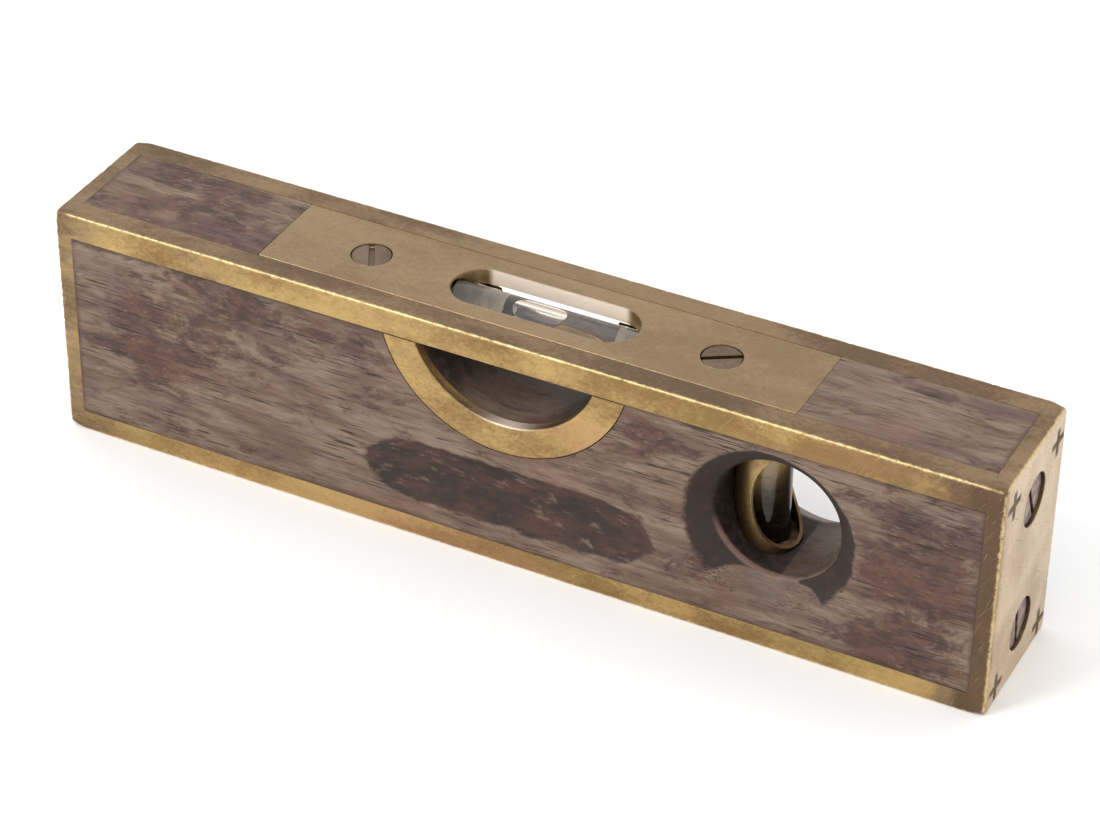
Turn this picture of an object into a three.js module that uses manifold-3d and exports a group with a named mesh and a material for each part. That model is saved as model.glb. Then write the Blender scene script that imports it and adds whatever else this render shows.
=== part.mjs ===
// Brass-bound rosewood pocket spirit level, with a level vial under a slotted top plate and a
// plumb vial in a flared hole near the right-hand end.
//
// Millimetres, +Z up. The origin is the middle of the underside. +X runs along the length
// towards the plumb vial, and -Y is the front.

import * as THREE from "three";
import { mergeVertices } from "three/addons/utils/BufferGeometryUtils.js";
import Module from "manifold-3d";

const wasm = await Module();
wasm.setup();

// ---------------------------------------------------------------- driving dimensions

const length = 158;
const width = 24.5;
const height = 40.7;

const fitGap = 0.1; // clearance between pieces that are fitted into each other
const overcut = 1; // how far a cutting shape runs past the face it cuts

const endPlate = { thickness: 2.8, cornerRadius: 1.4, bevel: 0.5 };
const railTop = { width: 4, height: 4.4, chamfer: 0.5 };
const railBottom = { width: 4, height: 3.6, chamfer: 0.5 };
const railTongue = { neck: 1, beadRadius: 0.9, reach: 1.3 };
const crossMark = { arm: 2.6, width: 0.8, depth: 0.3, across: [-8.2, 9.2], heights: [2.9, 36] };

const topPlate = { xLeft: -44.7, xRight: 45.2, thickness: 2.6 };
const windowSlot = { x: 0.45, length: 31, width: 9.7 };
const vialRelief = { radius: 4.3, xLeft: -20, xRight: 20.5 };

const plateScrew = {
  headRadius: 3.1,
  headEdge: 0.4,
  coneHeight: 1.4,
  shankRadius: 1.5,
  shankLength: 10,
  recess: 0.15,
  slotWidth: 0.75,
  slotDepth: 0.8,
};
const plateScrewPlaces = [
  { name: "plate_screw_left", x: -29.35, slotTurn: -62 },
  { name: "plate_screw_right", x: 29.6, slotTurn: 32 },
];

const endScrew = {
  headRadius: 4.1,
  headEdge: 0.5,
  coneHeight: 1.3,
  shankRadius: 2,
  shankLength: 13,
  recess: 0.6,
  slotWidth: 0.95,
  slotDepth: 0.9,
};
const endScrewPlaces = [
  { name: "end_screw_left_upper", side: -1, y: -1, z: 31, slotTurn: 16 },
  { name: "end_screw_left_lower", side: -1, y: -0.6, z: 8.6, slotTurn: -52 },
  { name: "end_screw_right_upper", side: 1, y: 1, z: 31, slotTurn: 24 },
  { name: "end_screw_right_lower", side: 1, y: 0.6, z: 8.6, slotTurn: 8 },
];

// The side sight is a round opening whose centre lies above the top of the level, so that only
// its lower part shows under the top rail.
const sight = { x: -0.5, z: 41.8, outerRadius: 20.95, innerRadius: 15.9, thickness: 1.8 };

const fingerGroove = { x: 0.3, z: 12.3, length: 50, height: 11.7, depth: 1.5, endLength: 11 };

const plumbHole = { x: 43.3, z: 21.3, boreRadius: 10.15, flareRadius: 14 };
const flares = [
  { side: -1, depth: 3.55 },
  { side: 1, depth: 5.2 },
];

// One size of brass tube holds either vial, bedded in plaster.
const caseTube = { outerRadius: 5.25, innerRadius: 4.75 };
const vialBase = 1.2; // thickness of the closed end of a vial

const levelVial = { z: 35.9, outerRadius: 4, innerRadius: 3, xLeft: -17, xRight: 17.4 };
const levelCase = { xLeft: -22, xRight: 22.4, rim: 37.9 };
const levelView = { xLeft: -9.4, xRight: 10.6, sill: 32.4 };
const levelPlaster = { xLeft: -7.3, xRight: 9.7 }; // where the plaster ends, towards the middle
const levelBubble = { x: -0.4, length: 8.6, width: 4.2, depth: 2.2, topGap: 0.15, travel: 10 };

const plumbVial = { x: 38.44, outerRadius: 3.3, innerRadius: 2.4, zLow: 6.4, zHigh: 36 };
const plumbCase = { zLow: 4.6, zHigh: 37.8 };
const plumbView = { x: 49.81, z: 21.02, radius: 11.13, turn: 10.35 };
const plumbPlaster = { lowerTop: 12.7, upperBottom: 30.6 };
const plumbBubble = { offset: 0.7, radius: 1.4, length: 5, zTop: 34.4, travel: 20 };

// ---------------------------------------------------------------- materials

const finish = (color, roughness, metalness, extra = {}) =>
  new THREE.MeshStandardMaterial({ color, roughness, metalness, ...extra });

const paleBrass = () => finish(0xa88f58, 0.38, 1);
const darkBrass = () => finish(0x7a6642, 0.45, 1);
const screwSteel = () => finish(0x4a4048, 0.5, 0.8);
const rosewood = () => finish(0x5d4a45, 0.6, 0);
const glass = () => finish(0xe6ece6, 0.08, 0, { transparent: true, opacity: 0.3 });
const spirit = () => finish(0xdcdccb, 0.05, 0, { transparent: true, opacity: 0.4 });
const air = () => finish(0xffffff, 0.02, 0, { transparent: true, opacity: 0.5 });
const plaster = () => finish(0xd8d2c2, 0.9, 0);

// ---------------------------------------------------------------- solid helpers

const SMALL_ROUND = 24; // sides of a screw or a vial
const ROUND = 40; // sides of a tube or its hole
const LARGE_ROUND = 72; // sides of a sight, the plumb hole or a finger groove
const BEAD_ROUND = 12; // sides of a rail's bead
const BUBBLE_ROUND = 16;
const BUBBLE_END_STEPS = 4;
const GROOVE_END_STEPS = 12;
const CORNER_STEPS = 4; // steps round a corner of an end plate
const BEVEL_STEPS = 2; // steps across the bevel of an end plate
const MERGE_DISTANCE = 1e-5;
const QUARTER_TURN = Math.PI / 2;

/** Turns a closed three.js geometry into a solid that can be cut and joined. */
function solidOf(geometry) {
  const bare = geometry.clone();
  bare.deleteAttribute("normal");
  bare.deleteAttribute("uv");
  const merged = mergeVertices(bare, MERGE_DISTANCE);
  const vertProperties = new Float32Array(merged.attributes.position.array);
  const triVerts = new Uint32Array(merged.index.array);
  return new wasm.Manifold(new wasm.Mesh({ numProp: 3, vertProperties, triVerts }));
}

/** Turns a solid back into a geometry. */
function geometryOf(solid) {
  const { vertProperties, triVerts } = solid.getMesh();
  const geometry = new THREE.BufferGeometry();
  geometry.setAttribute("position", new THREE.BufferAttribute(vertProperties, 3));
  geometry.setIndex(new THREE.BufferAttribute(triVerts, 1));
  geometry.computeVertexNormals();
  return geometry;
}

/** A box between its lowest and highest corners. */
function block([x0, y0, z0], [x1, y1, z1]) {
  const geometry = new THREE.BoxGeometry(x1 - x0, y1 - y0, z1 - z0);
  geometry.translate((x0 + x1) / 2, (y0 + y1) / 2, (z0 + z1) / 2);
  return solidOf(geometry);
}

/** A cylinder along X from x0 to x1, about the line (y, z). */
function alongX(radius, [x0, x1], [y, z], sides = ROUND) {
  const geometry = new THREE.CylinderGeometry(radius, radius, x1 - x0, sides);
  geometry.rotateZ(-QUARTER_TURN);
  geometry.translate((x0 + x1) / 2, y, z);
  return solidOf(geometry);
}

/** A cylinder along Y from y0 to y1, about the line (x, z), or a cone if endRadius differs. */
function alongY(radius, [y0, y1], [x, z], sides = LARGE_ROUND, endRadius = radius) {
  const geometry = new THREE.CylinderGeometry(endRadius, radius, y1 - y0, sides);
  geometry.translate(x, (y0 + y1) / 2, z);
  return solidOf(geometry);
}

/** A cylinder along Z from z0 to z1, about the line (x, y). */
function alongZ(radius, [z0, z1], [x, y], sides = ROUND) {
  const geometry = new THREE.CylinderGeometry(radius, radius, z1 - z0, sides);
  geometry.rotateX(QUARTER_TURN);
  geometry.translate(x, y, (z0 + z1) / 2);
  return solidOf(geometry);
}

/** A round-ended bar along X, its whole length given, centred on the origin. */
function capsuleAlongX(radius, wholeLength) {
  const straight = wholeLength - 2 * radius;
  const geometry = new THREE.CapsuleGeometry(radius, straight, BUBBLE_END_STEPS, BUBBLE_ROUND);
  geometry.rotateZ(-QUARTER_TURN);
  return solidOf(geometry);
}

const joined = (solids) => solids.reduce((whole, solid) => whole.add(solid));
const cutBy = (solid, cutters) => cutters.reduce((rest, cutter) => rest.subtract(cutter), solid);

// ---------------------------------------------------------------- screws

/** A countersunk screw turned about Z, grown by a clearance, its head's top at the origin. */
function turnedScrew(screw, clearance, top) {
  const { headRadius, headEdge, coneHeight, shankRadius, shankLength } = screw;
  const shoulder = -headEdge - coneHeight;
  const profile = [
    [0, shoulder - shankLength - clearance],
    [shankRadius + clearance, shoulder - shankLength - clearance],
    [shankRadius + clearance, shoulder - clearance],
    [headRadius + clearance, -headEdge - clearance],
    [headRadius + clearance, top],
    [0, top],
  ];
  const points = profile.map(([radius, z]) => new THREE.Vector2(radius, z));
  const geometry = new THREE.LatheGeometry(points, SMALL_ROUND);
  geometry.rotateX(QUARTER_TURN);
  return solidOf(geometry);
}

/** A slotted countersunk screw, its head's top at the origin. */
function slottedScrew(screw, slotTurn) {
  const reach = screw.headRadius + overcut;
  const slot = block(
    [-reach, -screw.slotWidth / 2, -screw.slotDepth],
    [reach, screw.slotWidth / 2, overcut],
  );
  return turnedScrew(screw, 0, 0).subtract(slot.rotate([0, 0, slotTurn]));
}

/** The hole that a screw sits in, open to the outside past its recess. */
const screwHole = (screw) => turnedScrew(screw, fitGap, screw.recess + overcut);

/** Moves a screw or its hole to a place in the top plate. */
const ontoPlate = (solid, { x }) => solid.translate([x, 0, height - plateScrew.recess]);

/** Moves a screw or its hole to a place in an end plate, with its head facing outwards. */
const ontoEnd = (solid, { side, y, z }) =>
  solid.rotate([0, side * 90, 0]).translate([side * (length / 2 - endScrew.recess), y, z]);

// ---------------------------------------------------------------- brass binding

const innerEnd = length / 2 - endPlate.thickness;

/** A rail along one long edge, with a beaded tongue on its inner corner. */
function railSolid(rail, side, level, grow = 0) {
  const reach = innerEnd - fitGap + grow;
  const inner = [side * (width / 2 - rail.width), level > 0 ? height - rail.height : rail.height];
  const outer = [(side * width) / 2, level > 0 ? height : 0];
  const lowY = Math.min(inner[0], outer[0]) - grow;
  const highY = Math.max(inner[0], outer[0]) + grow;
  const lowZ = Math.min(inner[1], outer[1]) - grow;
  const highZ = Math.max(inner[1], outer[1]) + grow;
  const bar = block([-reach, lowY, lowZ], [reach, highY, highZ]);

  const step = railTongue.reach * Math.SQRT1_2;
  const beadCentre = [inner[0] - side * step, inner[1] - level * step];
  const bead = alongX(railTongue.beadRadius + grow, [-reach, reach], beadCentre, BEAD_ROUND);
  const halfNeck = railTongue.neck / 2 + grow;
  const inwards = THREE.MathUtils.radToDeg(Math.atan2(-level, -side));
  const neck = block([-reach, -halfNeck, -halfNeck], [reach, railTongue.reach, halfNeck])
    .rotate([inwards, 0, 0])
    .translate([0, inner[0], inner[1]]);
  // Boring the side sight takes away the middle of the upper rails' tongues.
  const sightBore = alongY(sight.innerRadius, [-width, width], [sight.x, sight.z]);
  const tongue = joined([bead, neck]);
  const whole = bar.add(level > 0 ? tongue.subtract(sightBore) : tongue);
  if (grow > 0) return whole;

  const facet = rail.chamfer * Math.SQRT1_2;
  const edge = block([-reach - overcut, -facet, -facet], [reach + overcut, facet, facet]);
  return whole.subtract(edge.rotate([45, 0, 0]).translate([0, outer[0], outer[1]]));
}

const railPlaces = [
  { name: "rail_top_front", rail: railTop, side: -1, level: 1 },
  { name: "rail_top_rear", rail: railTop, side: 1, level: 1 },
  { name: "rail_bottom_front", rail: railBottom, side: -1, level: -1 },
  { name: "rail_bottom_rear", rail: railBottom, side: 1, level: -1 },
];

/** A rectangle in its own plane with rounded corners. */
function roundedRectangle(w, h, radius) {
  const shape = new THREE.Shape();
  const right = w / 2 - radius;
  const top = h / 2 - radius;
  shape.absarc(right, top, radius, 0, QUARTER_TURN);
  shape.absarc(-right, top, radius, QUARTER_TURN, 2 * QUARTER_TURN);
  shape.absarc(-right, -top, radius, 2 * QUARTER_TURN, 3 * QUARTER_TURN);
  shape.absarc(right, -top, radius, 3 * QUARTER_TURN, 4 * QUARTER_TURN);
  return shape;
}

/** An end plate, bevelled round its outer face, with two screw holes and four cross marks. */
function endPlateSolid(side) {
  const { thickness, cornerRadius, bevel } = endPlate;
  const geometry = new THREE.ExtrudeGeometry(roundedRectangle(width, height, cornerRadius), {
    depth: thickness,
    bevelThickness: bevel,
    bevelSize: bevel,
    bevelOffset: -bevel,
    bevelSegments: BEVEL_STEPS,
    curveSegments: CORNER_STEPS,
  });
  geometry.rotateX(QUARTER_TURN);
  geometry.rotateZ(QUARTER_TURN);
  geometry.translate(innerEnd - bevel, 0, height / 2);
  const inside = block([0, -width, -height], [innerEnd, width, 2 * height]);
  const plate = solidOf(geometry).subtract(inside);

  const face = length / 2;
  const half = crossMark.width / 2;
  const arms = crossMark.across.flatMap((y) =>
    crossMark.heights.flatMap((z) => {
      const floor = face - crossMark.depth;
      return [
        block([floor, y - crossMark.arm, z - half], [face + overcut, y + crossMark.arm, z + half]),
        block([floor, y - half, z - crossMark.arm], [face + overcut, y + half, z + crossMark.arm]),
      ];
    }),
  );
  const holes = endScrewPlaces
    .filter((place) => place.side > 0)
    .map((place) => ontoEnd(screwHole(endScrew), place));
  const marked = cutBy(plate, [...arms, ...holes]);
  return side > 0 ? marked : marked.rotate([0, 0, 180]);
}

/** A crescent of brass round one mouth of the side sight, under the top rail. */
function sightRimSolid(side) {
  const centre = [sight.x, sight.z];
  const face = width / 2;
  const span = side > 0 ? [face - sight.thickness, face] : [-face, sight.thickness - face];
  const past = [span[0] - overcut, span[1] + overcut];
  const ring = alongY(sight.outerRadius, span, centre).subtract(
    alongY(sight.innerRadius, past, centre),
  );
  const underRail = height - railTop.height - fitGap;
  return ring.subtract(block([-length, -width, underRail], [length, width, 2 * height]));
}

// ---------------------------------------------------------------- top plate

const plateBottom = height - topPlate.thickness;
const plateHalfWidth = width / 2 - railTop.width - fitGap;

/** A round-ended slot through the top plate. */
function windowSlotSolid() {
  const radius = windowSlot.width / 2;
  const reach = windowSlot.length / 2 - radius;
  const span = [plateBottom - overcut, height + overcut];
  const ends = [-reach, reach].map((offset) => alongZ(radius, span, [windowSlot.x + offset, 0]));
  const middle = block(
    [windowSlot.x - reach, -radius, span[0]],
    [windowSlot.x + reach, radius, span[1]],
  );
  return joined([middle, ...ends]);
}

function topPlateSolid() {
  const plate = block(
    [topPlate.xLeft, -plateHalfWidth, plateBottom],
    [topPlate.xRight, plateHalfWidth, height],
  );
  const { radius, xLeft, xRight } = vialRelief;
  return cutBy(plate, [
    windowSlotSolid(),
    alongX(radius, [xLeft, xRight], [0, levelVial.z]),
    ...plateScrewPlaces.map((place) => ontoPlate(screwHole(plateScrew), place)),
  ]);
}

// ---------------------------------------------------------------- wooden stock

/** The scoop for the fingers on one side: a bar with long rounded ends, sunk into the face. */
function fingerGrooveSolid(side) {
  const { x, z, depth, endLength } = fingerGroove;
  const halfHeight = fingerGroove.height / 2;
  const radius = (halfHeight ** 2 + depth ** 2) / (2 * depth);
  const straight = fingerGroove.length / 2 - endLength;
  const stretch = endLength / halfHeight;
  const upper = [];
  for (let step = 0; step <= GROOVE_END_STEPS; step += 1) {
    const turn = (step / GROOVE_END_STEPS) * QUARTER_TURN;
    upper.push([radius * Math.cos(turn), straight + stretch * radius * Math.sin(turn)]);
  }
  const lower = upper.map(([r, along]) => [r, -along]).reverse();
  const points = [...lower, ...upper].map(([r, along]) => new THREE.Vector2(r, along));
  const geometry = new THREE.LatheGeometry(points, LARGE_ROUND);
  geometry.rotateZ(-QUARTER_TURN);
  return solidOf(geometry).translate([x, side * (width / 2 + radius - depth), z]);
}

/** The cone that opens the plumb hole out to one face. */
function flareSolid({ side, depth }) {
  const { x, z, boreRadius, flareRadius } = plumbHole;
  const slope = (flareRadius - boreRadius) / depth;
  const wide = flareRadius + slope * overcut;
  const mouth = width / 2 + overcut;
  const throat = width / 2 - depth;
  return side < 0
    ? alongY(wide, [-mouth, -throat], [x, z], LARGE_ROUND, boreRadius)
    : alongY(boreRadius, [throat, mouth], [x, z], LARGE_ROUND, wide);
}

function stockSolid() {
  const reach = innerEnd - fitGap;
  const through = [-width / 2 - overcut, width / 2 + overcut];
  const bed = plateBottom - fitGap;
  const bedReach = plateHalfWidth + 2 * fitGap;
  const tubeHole = caseTube.outerRadius + fitGap;
  const rimFloor = width / 2 - sight.thickness - fitGap;
  const rimRadius = sight.outerRadius + fitGap;

  const rabbets = railPlaces.map(({ rail, side, level }) => railSolid(rail, side, level, fitGap));
  const plateBed = block(
    [topPlate.xLeft - fitGap, -bedReach, bed],
    [topPlate.xRight + fitGap, bedReach, height + overcut],
  );
  const caseSpan = [levelCase.xLeft - fitGap, levelCase.xRight + fitGap];
  const caseBed = joined([
    alongX(tubeHole, caseSpan, [0, levelVial.z]),
    block([caseSpan[0], -tubeHole, levelVial.z], [caseSpan[1], tubeHole, bed + overcut]),
  ]);
  const sightCuts = [
    alongY(sight.innerRadius, through, [sight.x, sight.z]),
    alongY(rimRadius, [through[0], -rimFloor], [sight.x, sight.z]),
    alongY(rimRadius, [rimFloor, through[1]], [sight.x, sight.z]),
  ];
  const plumbCuts = [
    alongY(plumbHole.boreRadius, through, [plumbHole.x, plumbHole.z]),
    ...flares.map(flareSolid),
    alongZ(tubeHole, [plumbCase.zLow - fitGap, bed + overcut], [plumbVial.x, 0]),
  ];
  const screwCuts = [
    ...plateScrewPlaces.map((place) => ontoPlate(screwHole(plateScrew), place)),
    ...endScrewPlaces.map((place) => ontoEnd(screwHole(endScrew), place)),
  ];
  return cutBy(block([-reach, -width / 2, 0], [reach, width / 2, height]), [
    ...rabbets,
    plateBed,
    caseBed,
    ...sightCuts,
    ...[-1, 1].map(fingerGrooveSolid),
    ...plumbCuts,
    ...screwCuts,
  ]);
}

// ---------------------------------------------------------------- level vial

const levelAxis = [0, levelVial.z];

/** A brass tube open along its top, cut down to a strip where the bubble is read. */
function levelCaseSolid() {
  const span = [levelCase.xLeft, levelCase.xRight];
  const past = [span[0] - overcut, span[1] + overcut];
  const tube = alongX(caseTube.outerRadius, span, levelAxis).subtract(
    alongX(caseTube.innerRadius, past, levelAxis),
  );
  return cutBy(tube, [
    block([past[0], -width, levelCase.rim], [past[1], width, height + overcut]),
    block([levelView.xLeft, -width, levelView.sill], [levelView.xRight, width, height + overcut]),
  ]);
}

function levelVialSolid() {
  const { xLeft, xRight, outerRadius, innerRadius } = levelVial;
  return alongX(outerRadius, [xLeft, xRight], levelAxis, SMALL_ROUND).subtract(
    alongX(innerRadius, [xLeft + vialBase, xRight + overcut], levelAxis, SMALL_ROUND),
  );
}

/** Plaster round and behind one end of the level vial, as high as the case's rim. */
function levelPlasterSolid(side) {
  const { xLeft, xRight, outerRadius } = levelVial;
  const outside = side < 0 ? levelCase.xLeft + fitGap : levelCase.xRight - fitGap;
  const inside = side < 0 ? levelPlaster.xLeft : levelPlaster.xRight;
  const vialEnd = side < 0 ? xLeft - fitGap : xRight + fitGap;
  const ordered = (a, b) => [Math.min(a, b), Math.max(a, b)];
  const filling = alongX(caseTube.innerRadius - fitGap, ordered(outside, inside), levelAxis);
  const room = alongX(
    outerRadius + fitGap,
    ordered(vialEnd, inside - side * overcut),
    levelAxis,
    SMALL_ROUND,
  );
  const aboveRim = block([-length, -width, levelCase.rim], [length, width, 2 * height]);
  return cutBy(filling, [room, aboveRim]);
}

const bubbleTop = levelVial.z + levelVial.innerRadius - levelBubble.topGap;
const bubbleCentre = bubbleTop - levelBubble.depth / 2;

/** The spirit, with an open channel along its top for the bubble's whole travel. */
function levelSpiritSolid() {
  const { xLeft, xRight, innerRadius } = levelVial;
  const span = [xLeft + vialBase + fitGap, xRight - vialBase];
  const halfRun = levelBubble.length / 2 + levelBubble.travel + levelBubble.topGap;
  const floor = bubbleCentre - levelBubble.depth / 2 - levelBubble.topGap;
  const channel = block(
    [levelBubble.x - halfRun, -innerRadius, floor],
    [levelBubble.x + halfRun, innerRadius, height],
  );
  return alongX(innerRadius - fitGap, span, levelAxis, SMALL_ROUND).subtract(channel);
}

function levelBubbleSolid() {
  const { x, depth } = levelBubble;
  return capsuleAlongX(levelBubble.width / 2, levelBubble.length)
    .scale([1, 1, depth / levelBubble.width])
    .translate([x, 0, bubbleCentre]);
}

// ---------------------------------------------------------------- plumb vial

const plumbAxis = [plumbVial.x, 0];

/** An upright brass tube whose side towards the plumb hole is cut away in a round sweep. */
function plumbCaseSolid() {
  const { zLow, zHigh } = plumbCase;
  const tube = alongZ(caseTube.outerRadius, [zLow, zHigh], plumbAxis).subtract(
    alongZ(caseTube.innerRadius, [zLow - overcut, zHigh + overcut], plumbAxis),
  );
  const sweep = alongY(plumbView.radius, [-width, width], [0, 0])
    .rotate([0, 0, -plumbView.turn])
    .translate([plumbView.x, 0, plumbView.z]);
  return tube.subtract(sweep);
}

function plumbVialSolid() {
  const { zLow, zHigh, outerRadius, innerRadius } = plumbVial;
  return alongZ(outerRadius, [zLow, zHigh], plumbAxis, SMALL_ROUND).subtract(
    alongZ(innerRadius, [zLow + vialBase, zHigh + overcut], plumbAxis, SMALL_ROUND),
  );
}

/** Plaster that beds one end of the plumb vial in its case. */
function plumbPlasterSolid([zLow, zHigh]) {
  const room = [plumbVial.zLow - fitGap, plumbVial.zHigh + fitGap];
  return alongZ(caseTube.innerRadius - fitGap, [zLow, zHigh], plumbAxis).subtract(
    alongZ(plumbVial.outerRadius + fitGap, room, plumbAxis, SMALL_ROUND),
  );
}

/** The spirit, with an open channel up its +X side for the bubble's whole travel. */
function plumbSpiritSolid() {
  const { zLow, zHigh, innerRadius } = plumbVial;
  const { offset, radius, zTop, travel } = plumbBubble;
  const span = [zTop - plumbBubble.length - travel - radius / 2, zTop + 2 * fitGap];
  const centre = [plumbVial.x + offset, 0];
  const channel = alongZ(radius + 2 * fitGap, span, centre, SMALL_ROUND);
  const mouth = block([centre[0], -radius, span[0]], [centre[0] + innerRadius, radius, span[1]]);
  return cutBy(
    alongZ(innerRadius - fitGap, [zLow + vialBase + fitGap, zHigh - fitGap], plumbAxis, SMALL_ROUND),
    [channel, mouth],
  );
}

function plumbBubbleSolid() {
  const { offset, radius, zTop } = plumbBubble;
  return capsuleAlongX(radius, plumbBubble.length)
    .rotate([0, 90, 0])
    .translate([plumbVial.x + offset, 0, zTop - plumbBubble.length / 2]);
}

// ---------------------------------------------------------------- assembly

/** Adds one named piece to a group. */
function addPiece(group, name, solid, material) {
  const mesh = new THREE.Mesh(geometryOf(solid), material);
  mesh.name = name;
  group.add(mesh);
}

const body = new THREE.Group();
addPiece(body, "stock", stockSolid(), rosewood());
for (const { name, rail, side, level } of railPlaces) {
  addPiece(body, name, railSolid(rail, side, level), paleBrass());
}
addPiece(body, "end_plate_left", endPlateSolid(-1), paleBrass());
addPiece(body, "end_plate_right", endPlateSolid(1), paleBrass());
for (const place of endScrewPlaces) {
  addPiece(body, place.name, ontoEnd(slottedScrew(endScrew, place.slotTurn), place), screwSteel());
}
addPiece(body, "top_plate", topPlateSolid(), darkBrass());
for (const place of plateScrewPlaces) {
  addPiece(body, place.name, ontoPlate(slottedScrew(plateScrew, place.slotTurn), place), darkBrass());
}
addPiece(body, "sight_rim_front", sightRimSolid(-1), paleBrass());
addPiece(body, "sight_rim_rear", sightRimSolid(1), paleBrass());

const levelUnit = new THREE.Group();
addPiece(levelUnit, "level_case", levelCaseSolid(), darkBrass());
addPiece(levelUnit, "level_vial", levelVialSolid(), glass());
addPiece(levelUnit, "level_spirit", levelSpiritSolid(), spirit());
addPiece(levelUnit, "level_bubble", levelBubbleSolid(), air());
addPiece(levelUnit, "level_plaster_left", levelPlasterSolid(-1), plaster());
addPiece(levelUnit, "level_plaster_right", levelPlasterSolid(1), plaster());

const { zLow: caseLow, zHigh: caseHigh } = plumbCase;
const { lowerTop, upperBottom } = plumbPlaster;
const plumbUnit = new THREE.Group();
addPiece(plumbUnit, "plumb_case", plumbCaseSolid(), darkBrass());
addPiece(plumbUnit, "plumb_vial", plumbVialSolid(), glass());
addPiece(plumbUnit, "plumb_spirit", plumbSpiritSolid(), spirit());
addPiece(plumbUnit, "plumb_bubble", plumbBubbleSolid(), air());
addPiece(plumbUnit, "plumb_plaster_lower", plumbPlasterSolid([caseLow, lowerTop]), plaster());
addPiece(plumbUnit, "plumb_plaster_upper", plumbPlasterSolid([upperBottom, caseHigh]), plaster());

const group = new THREE.Group();
group.add(body, levelUnit, plumbUnit);

export default group;
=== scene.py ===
"""Looks for the brass-bound rosewood spirit level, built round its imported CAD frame.

Lengths are millimetres in the frame's own axes: +X runs towards the plumb vial, -Y is the front,
+Z is up, and the origin is the middle of the underside. mesh_object() turns them into metres.
"""

import math
import random

import bpy
import numpy as np
from mathutils import Matrix, Vector, noise


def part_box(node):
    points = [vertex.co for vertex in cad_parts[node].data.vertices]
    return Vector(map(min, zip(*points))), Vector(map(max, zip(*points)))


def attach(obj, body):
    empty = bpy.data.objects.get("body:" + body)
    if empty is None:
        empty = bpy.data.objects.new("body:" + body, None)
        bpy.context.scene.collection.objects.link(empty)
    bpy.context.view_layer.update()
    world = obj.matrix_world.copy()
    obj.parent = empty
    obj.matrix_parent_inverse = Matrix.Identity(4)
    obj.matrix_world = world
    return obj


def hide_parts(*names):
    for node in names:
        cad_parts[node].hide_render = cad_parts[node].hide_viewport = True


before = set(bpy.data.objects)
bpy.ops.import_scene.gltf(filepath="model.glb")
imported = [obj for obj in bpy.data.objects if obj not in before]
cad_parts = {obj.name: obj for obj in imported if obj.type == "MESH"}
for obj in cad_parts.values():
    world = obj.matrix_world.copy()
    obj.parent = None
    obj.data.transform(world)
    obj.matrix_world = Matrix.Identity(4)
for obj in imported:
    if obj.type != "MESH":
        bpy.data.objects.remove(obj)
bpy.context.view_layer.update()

MM = 0.001


def box_mm(node):
    """The lowest and highest corners of a CAD node, in millimetres."""
    low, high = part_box(node)
    return np.array(low) / MM, np.array(high) / MM


# ---------------------------------------------------------------- driving dimensions

OBJECT_LOW, _ = box_mm("end_plate_left")
right_plate_low, OBJECT_HIGH = box_mm("end_plate_right")
LENGTH, WIDTH, HEIGHT = OBJECT_HIGH - OBJECT_LOW
FACE = WIDTH / 2
PLATE_THICKNESS = OBJECT_HIGH[0] - right_plate_low[0]
INNER_END = LENGTH / 2 - PLATE_THICKNESS
FIT_GAP = 0.1
JOINT_GAP = 0.01
SEAT_GAP = 0.03
EDGE_RADIUS = 0.38
INNER_EDGE_RADIUS = 0.1
PLATE_CORNER = 1.4
RAIL_NICKS = (0.12, 0.14, 0.17, 0.2, 0.24, 0.34)
# at the front (-1) and at the rear (1)
RAIL_NICK_COUNT = {-1: 130, 1: 60}
PLATE_NICKS = (0.14, 0.18, 0.22, 0.3, 0.4)

RAILS = ("rail_top_front", "rail_top_rear", "rail_bottom_front", "rail_bottom_rear")
END_PLATES = {"end_plate_left": -1, "end_plate_right": 1}
SIGHT_RIMS = {"sight_rim_front": -1, "sight_rim_rear": 1}
RAIL_WIDTH = 4.0
RAIL_HEIGHT = {"top": 4.4, "bottom": 3.6}
# x, half width and strength of each dull smear on the upper brass
SMEARS = ((-52, 9, 0.4), (64, 6, 0.35))
TONGUE_NECK = 1.0
TONGUE_BEAD = 0.9
TONGUE_REACH = 1.3

CROSS_ACROSS = (-8.2, 9.2)
CROSS_HEIGHTS = (2.9, 36.0)
CROSS_ARM = 2.6
CROSS_HALF = 0.6
CROSS_DEPTH = 0.34

SIGHT_CENTRE = (-0.5, 41.8)
SIGHT_OUTER = 20.95
SIGHT_INNER = 15.9
GROOVE = {"x": 0.3, "z": 12.3, "length": 50.0, "height": 11.7, "depth": 1.5, "end": 11.0}
# x, z, half width, half height and strength of each dark patch on the wood, below zero where it is paler
DARK_PATCHES = (
    (-64, 20, 6, 11, 1.1),
    (-50, 26, 11, 6, 0.6),
    (-40, 33, 14, 3, 0.7),
    (-30, 9, 12, 4, -0.6),
    (24, 31, 7, 4, 0.6),
    (67, 22, 9, 11, 1.2),
    (62, 8, 10, 4, 1.1),
    (55, 20, 3, 8, -0.8),
    (-54, 41, 17, 5, 0.6),
)
PLUMB_CENTRE = (43.3, 21.3)
PLUMB_BORE = 10.15
PLUMB_FLARE = 14.0
FLARE_DEPTH = {-1: 3.55, 1: 5.2}

WINDOW_LENGTH = 31.0
WINDOW_WIDTH = 9.7
WINDOW_X = 0.45
CASE_OUTER = 5.25
CASE_INNER = 4.75
RELIEF_RADIUS = 4.3
RELIEF_SPAN = (-20, 20.5)
LEVEL_VIEW = (-9.4, 10.6)
LEVEL_SILL = 32.4
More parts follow.
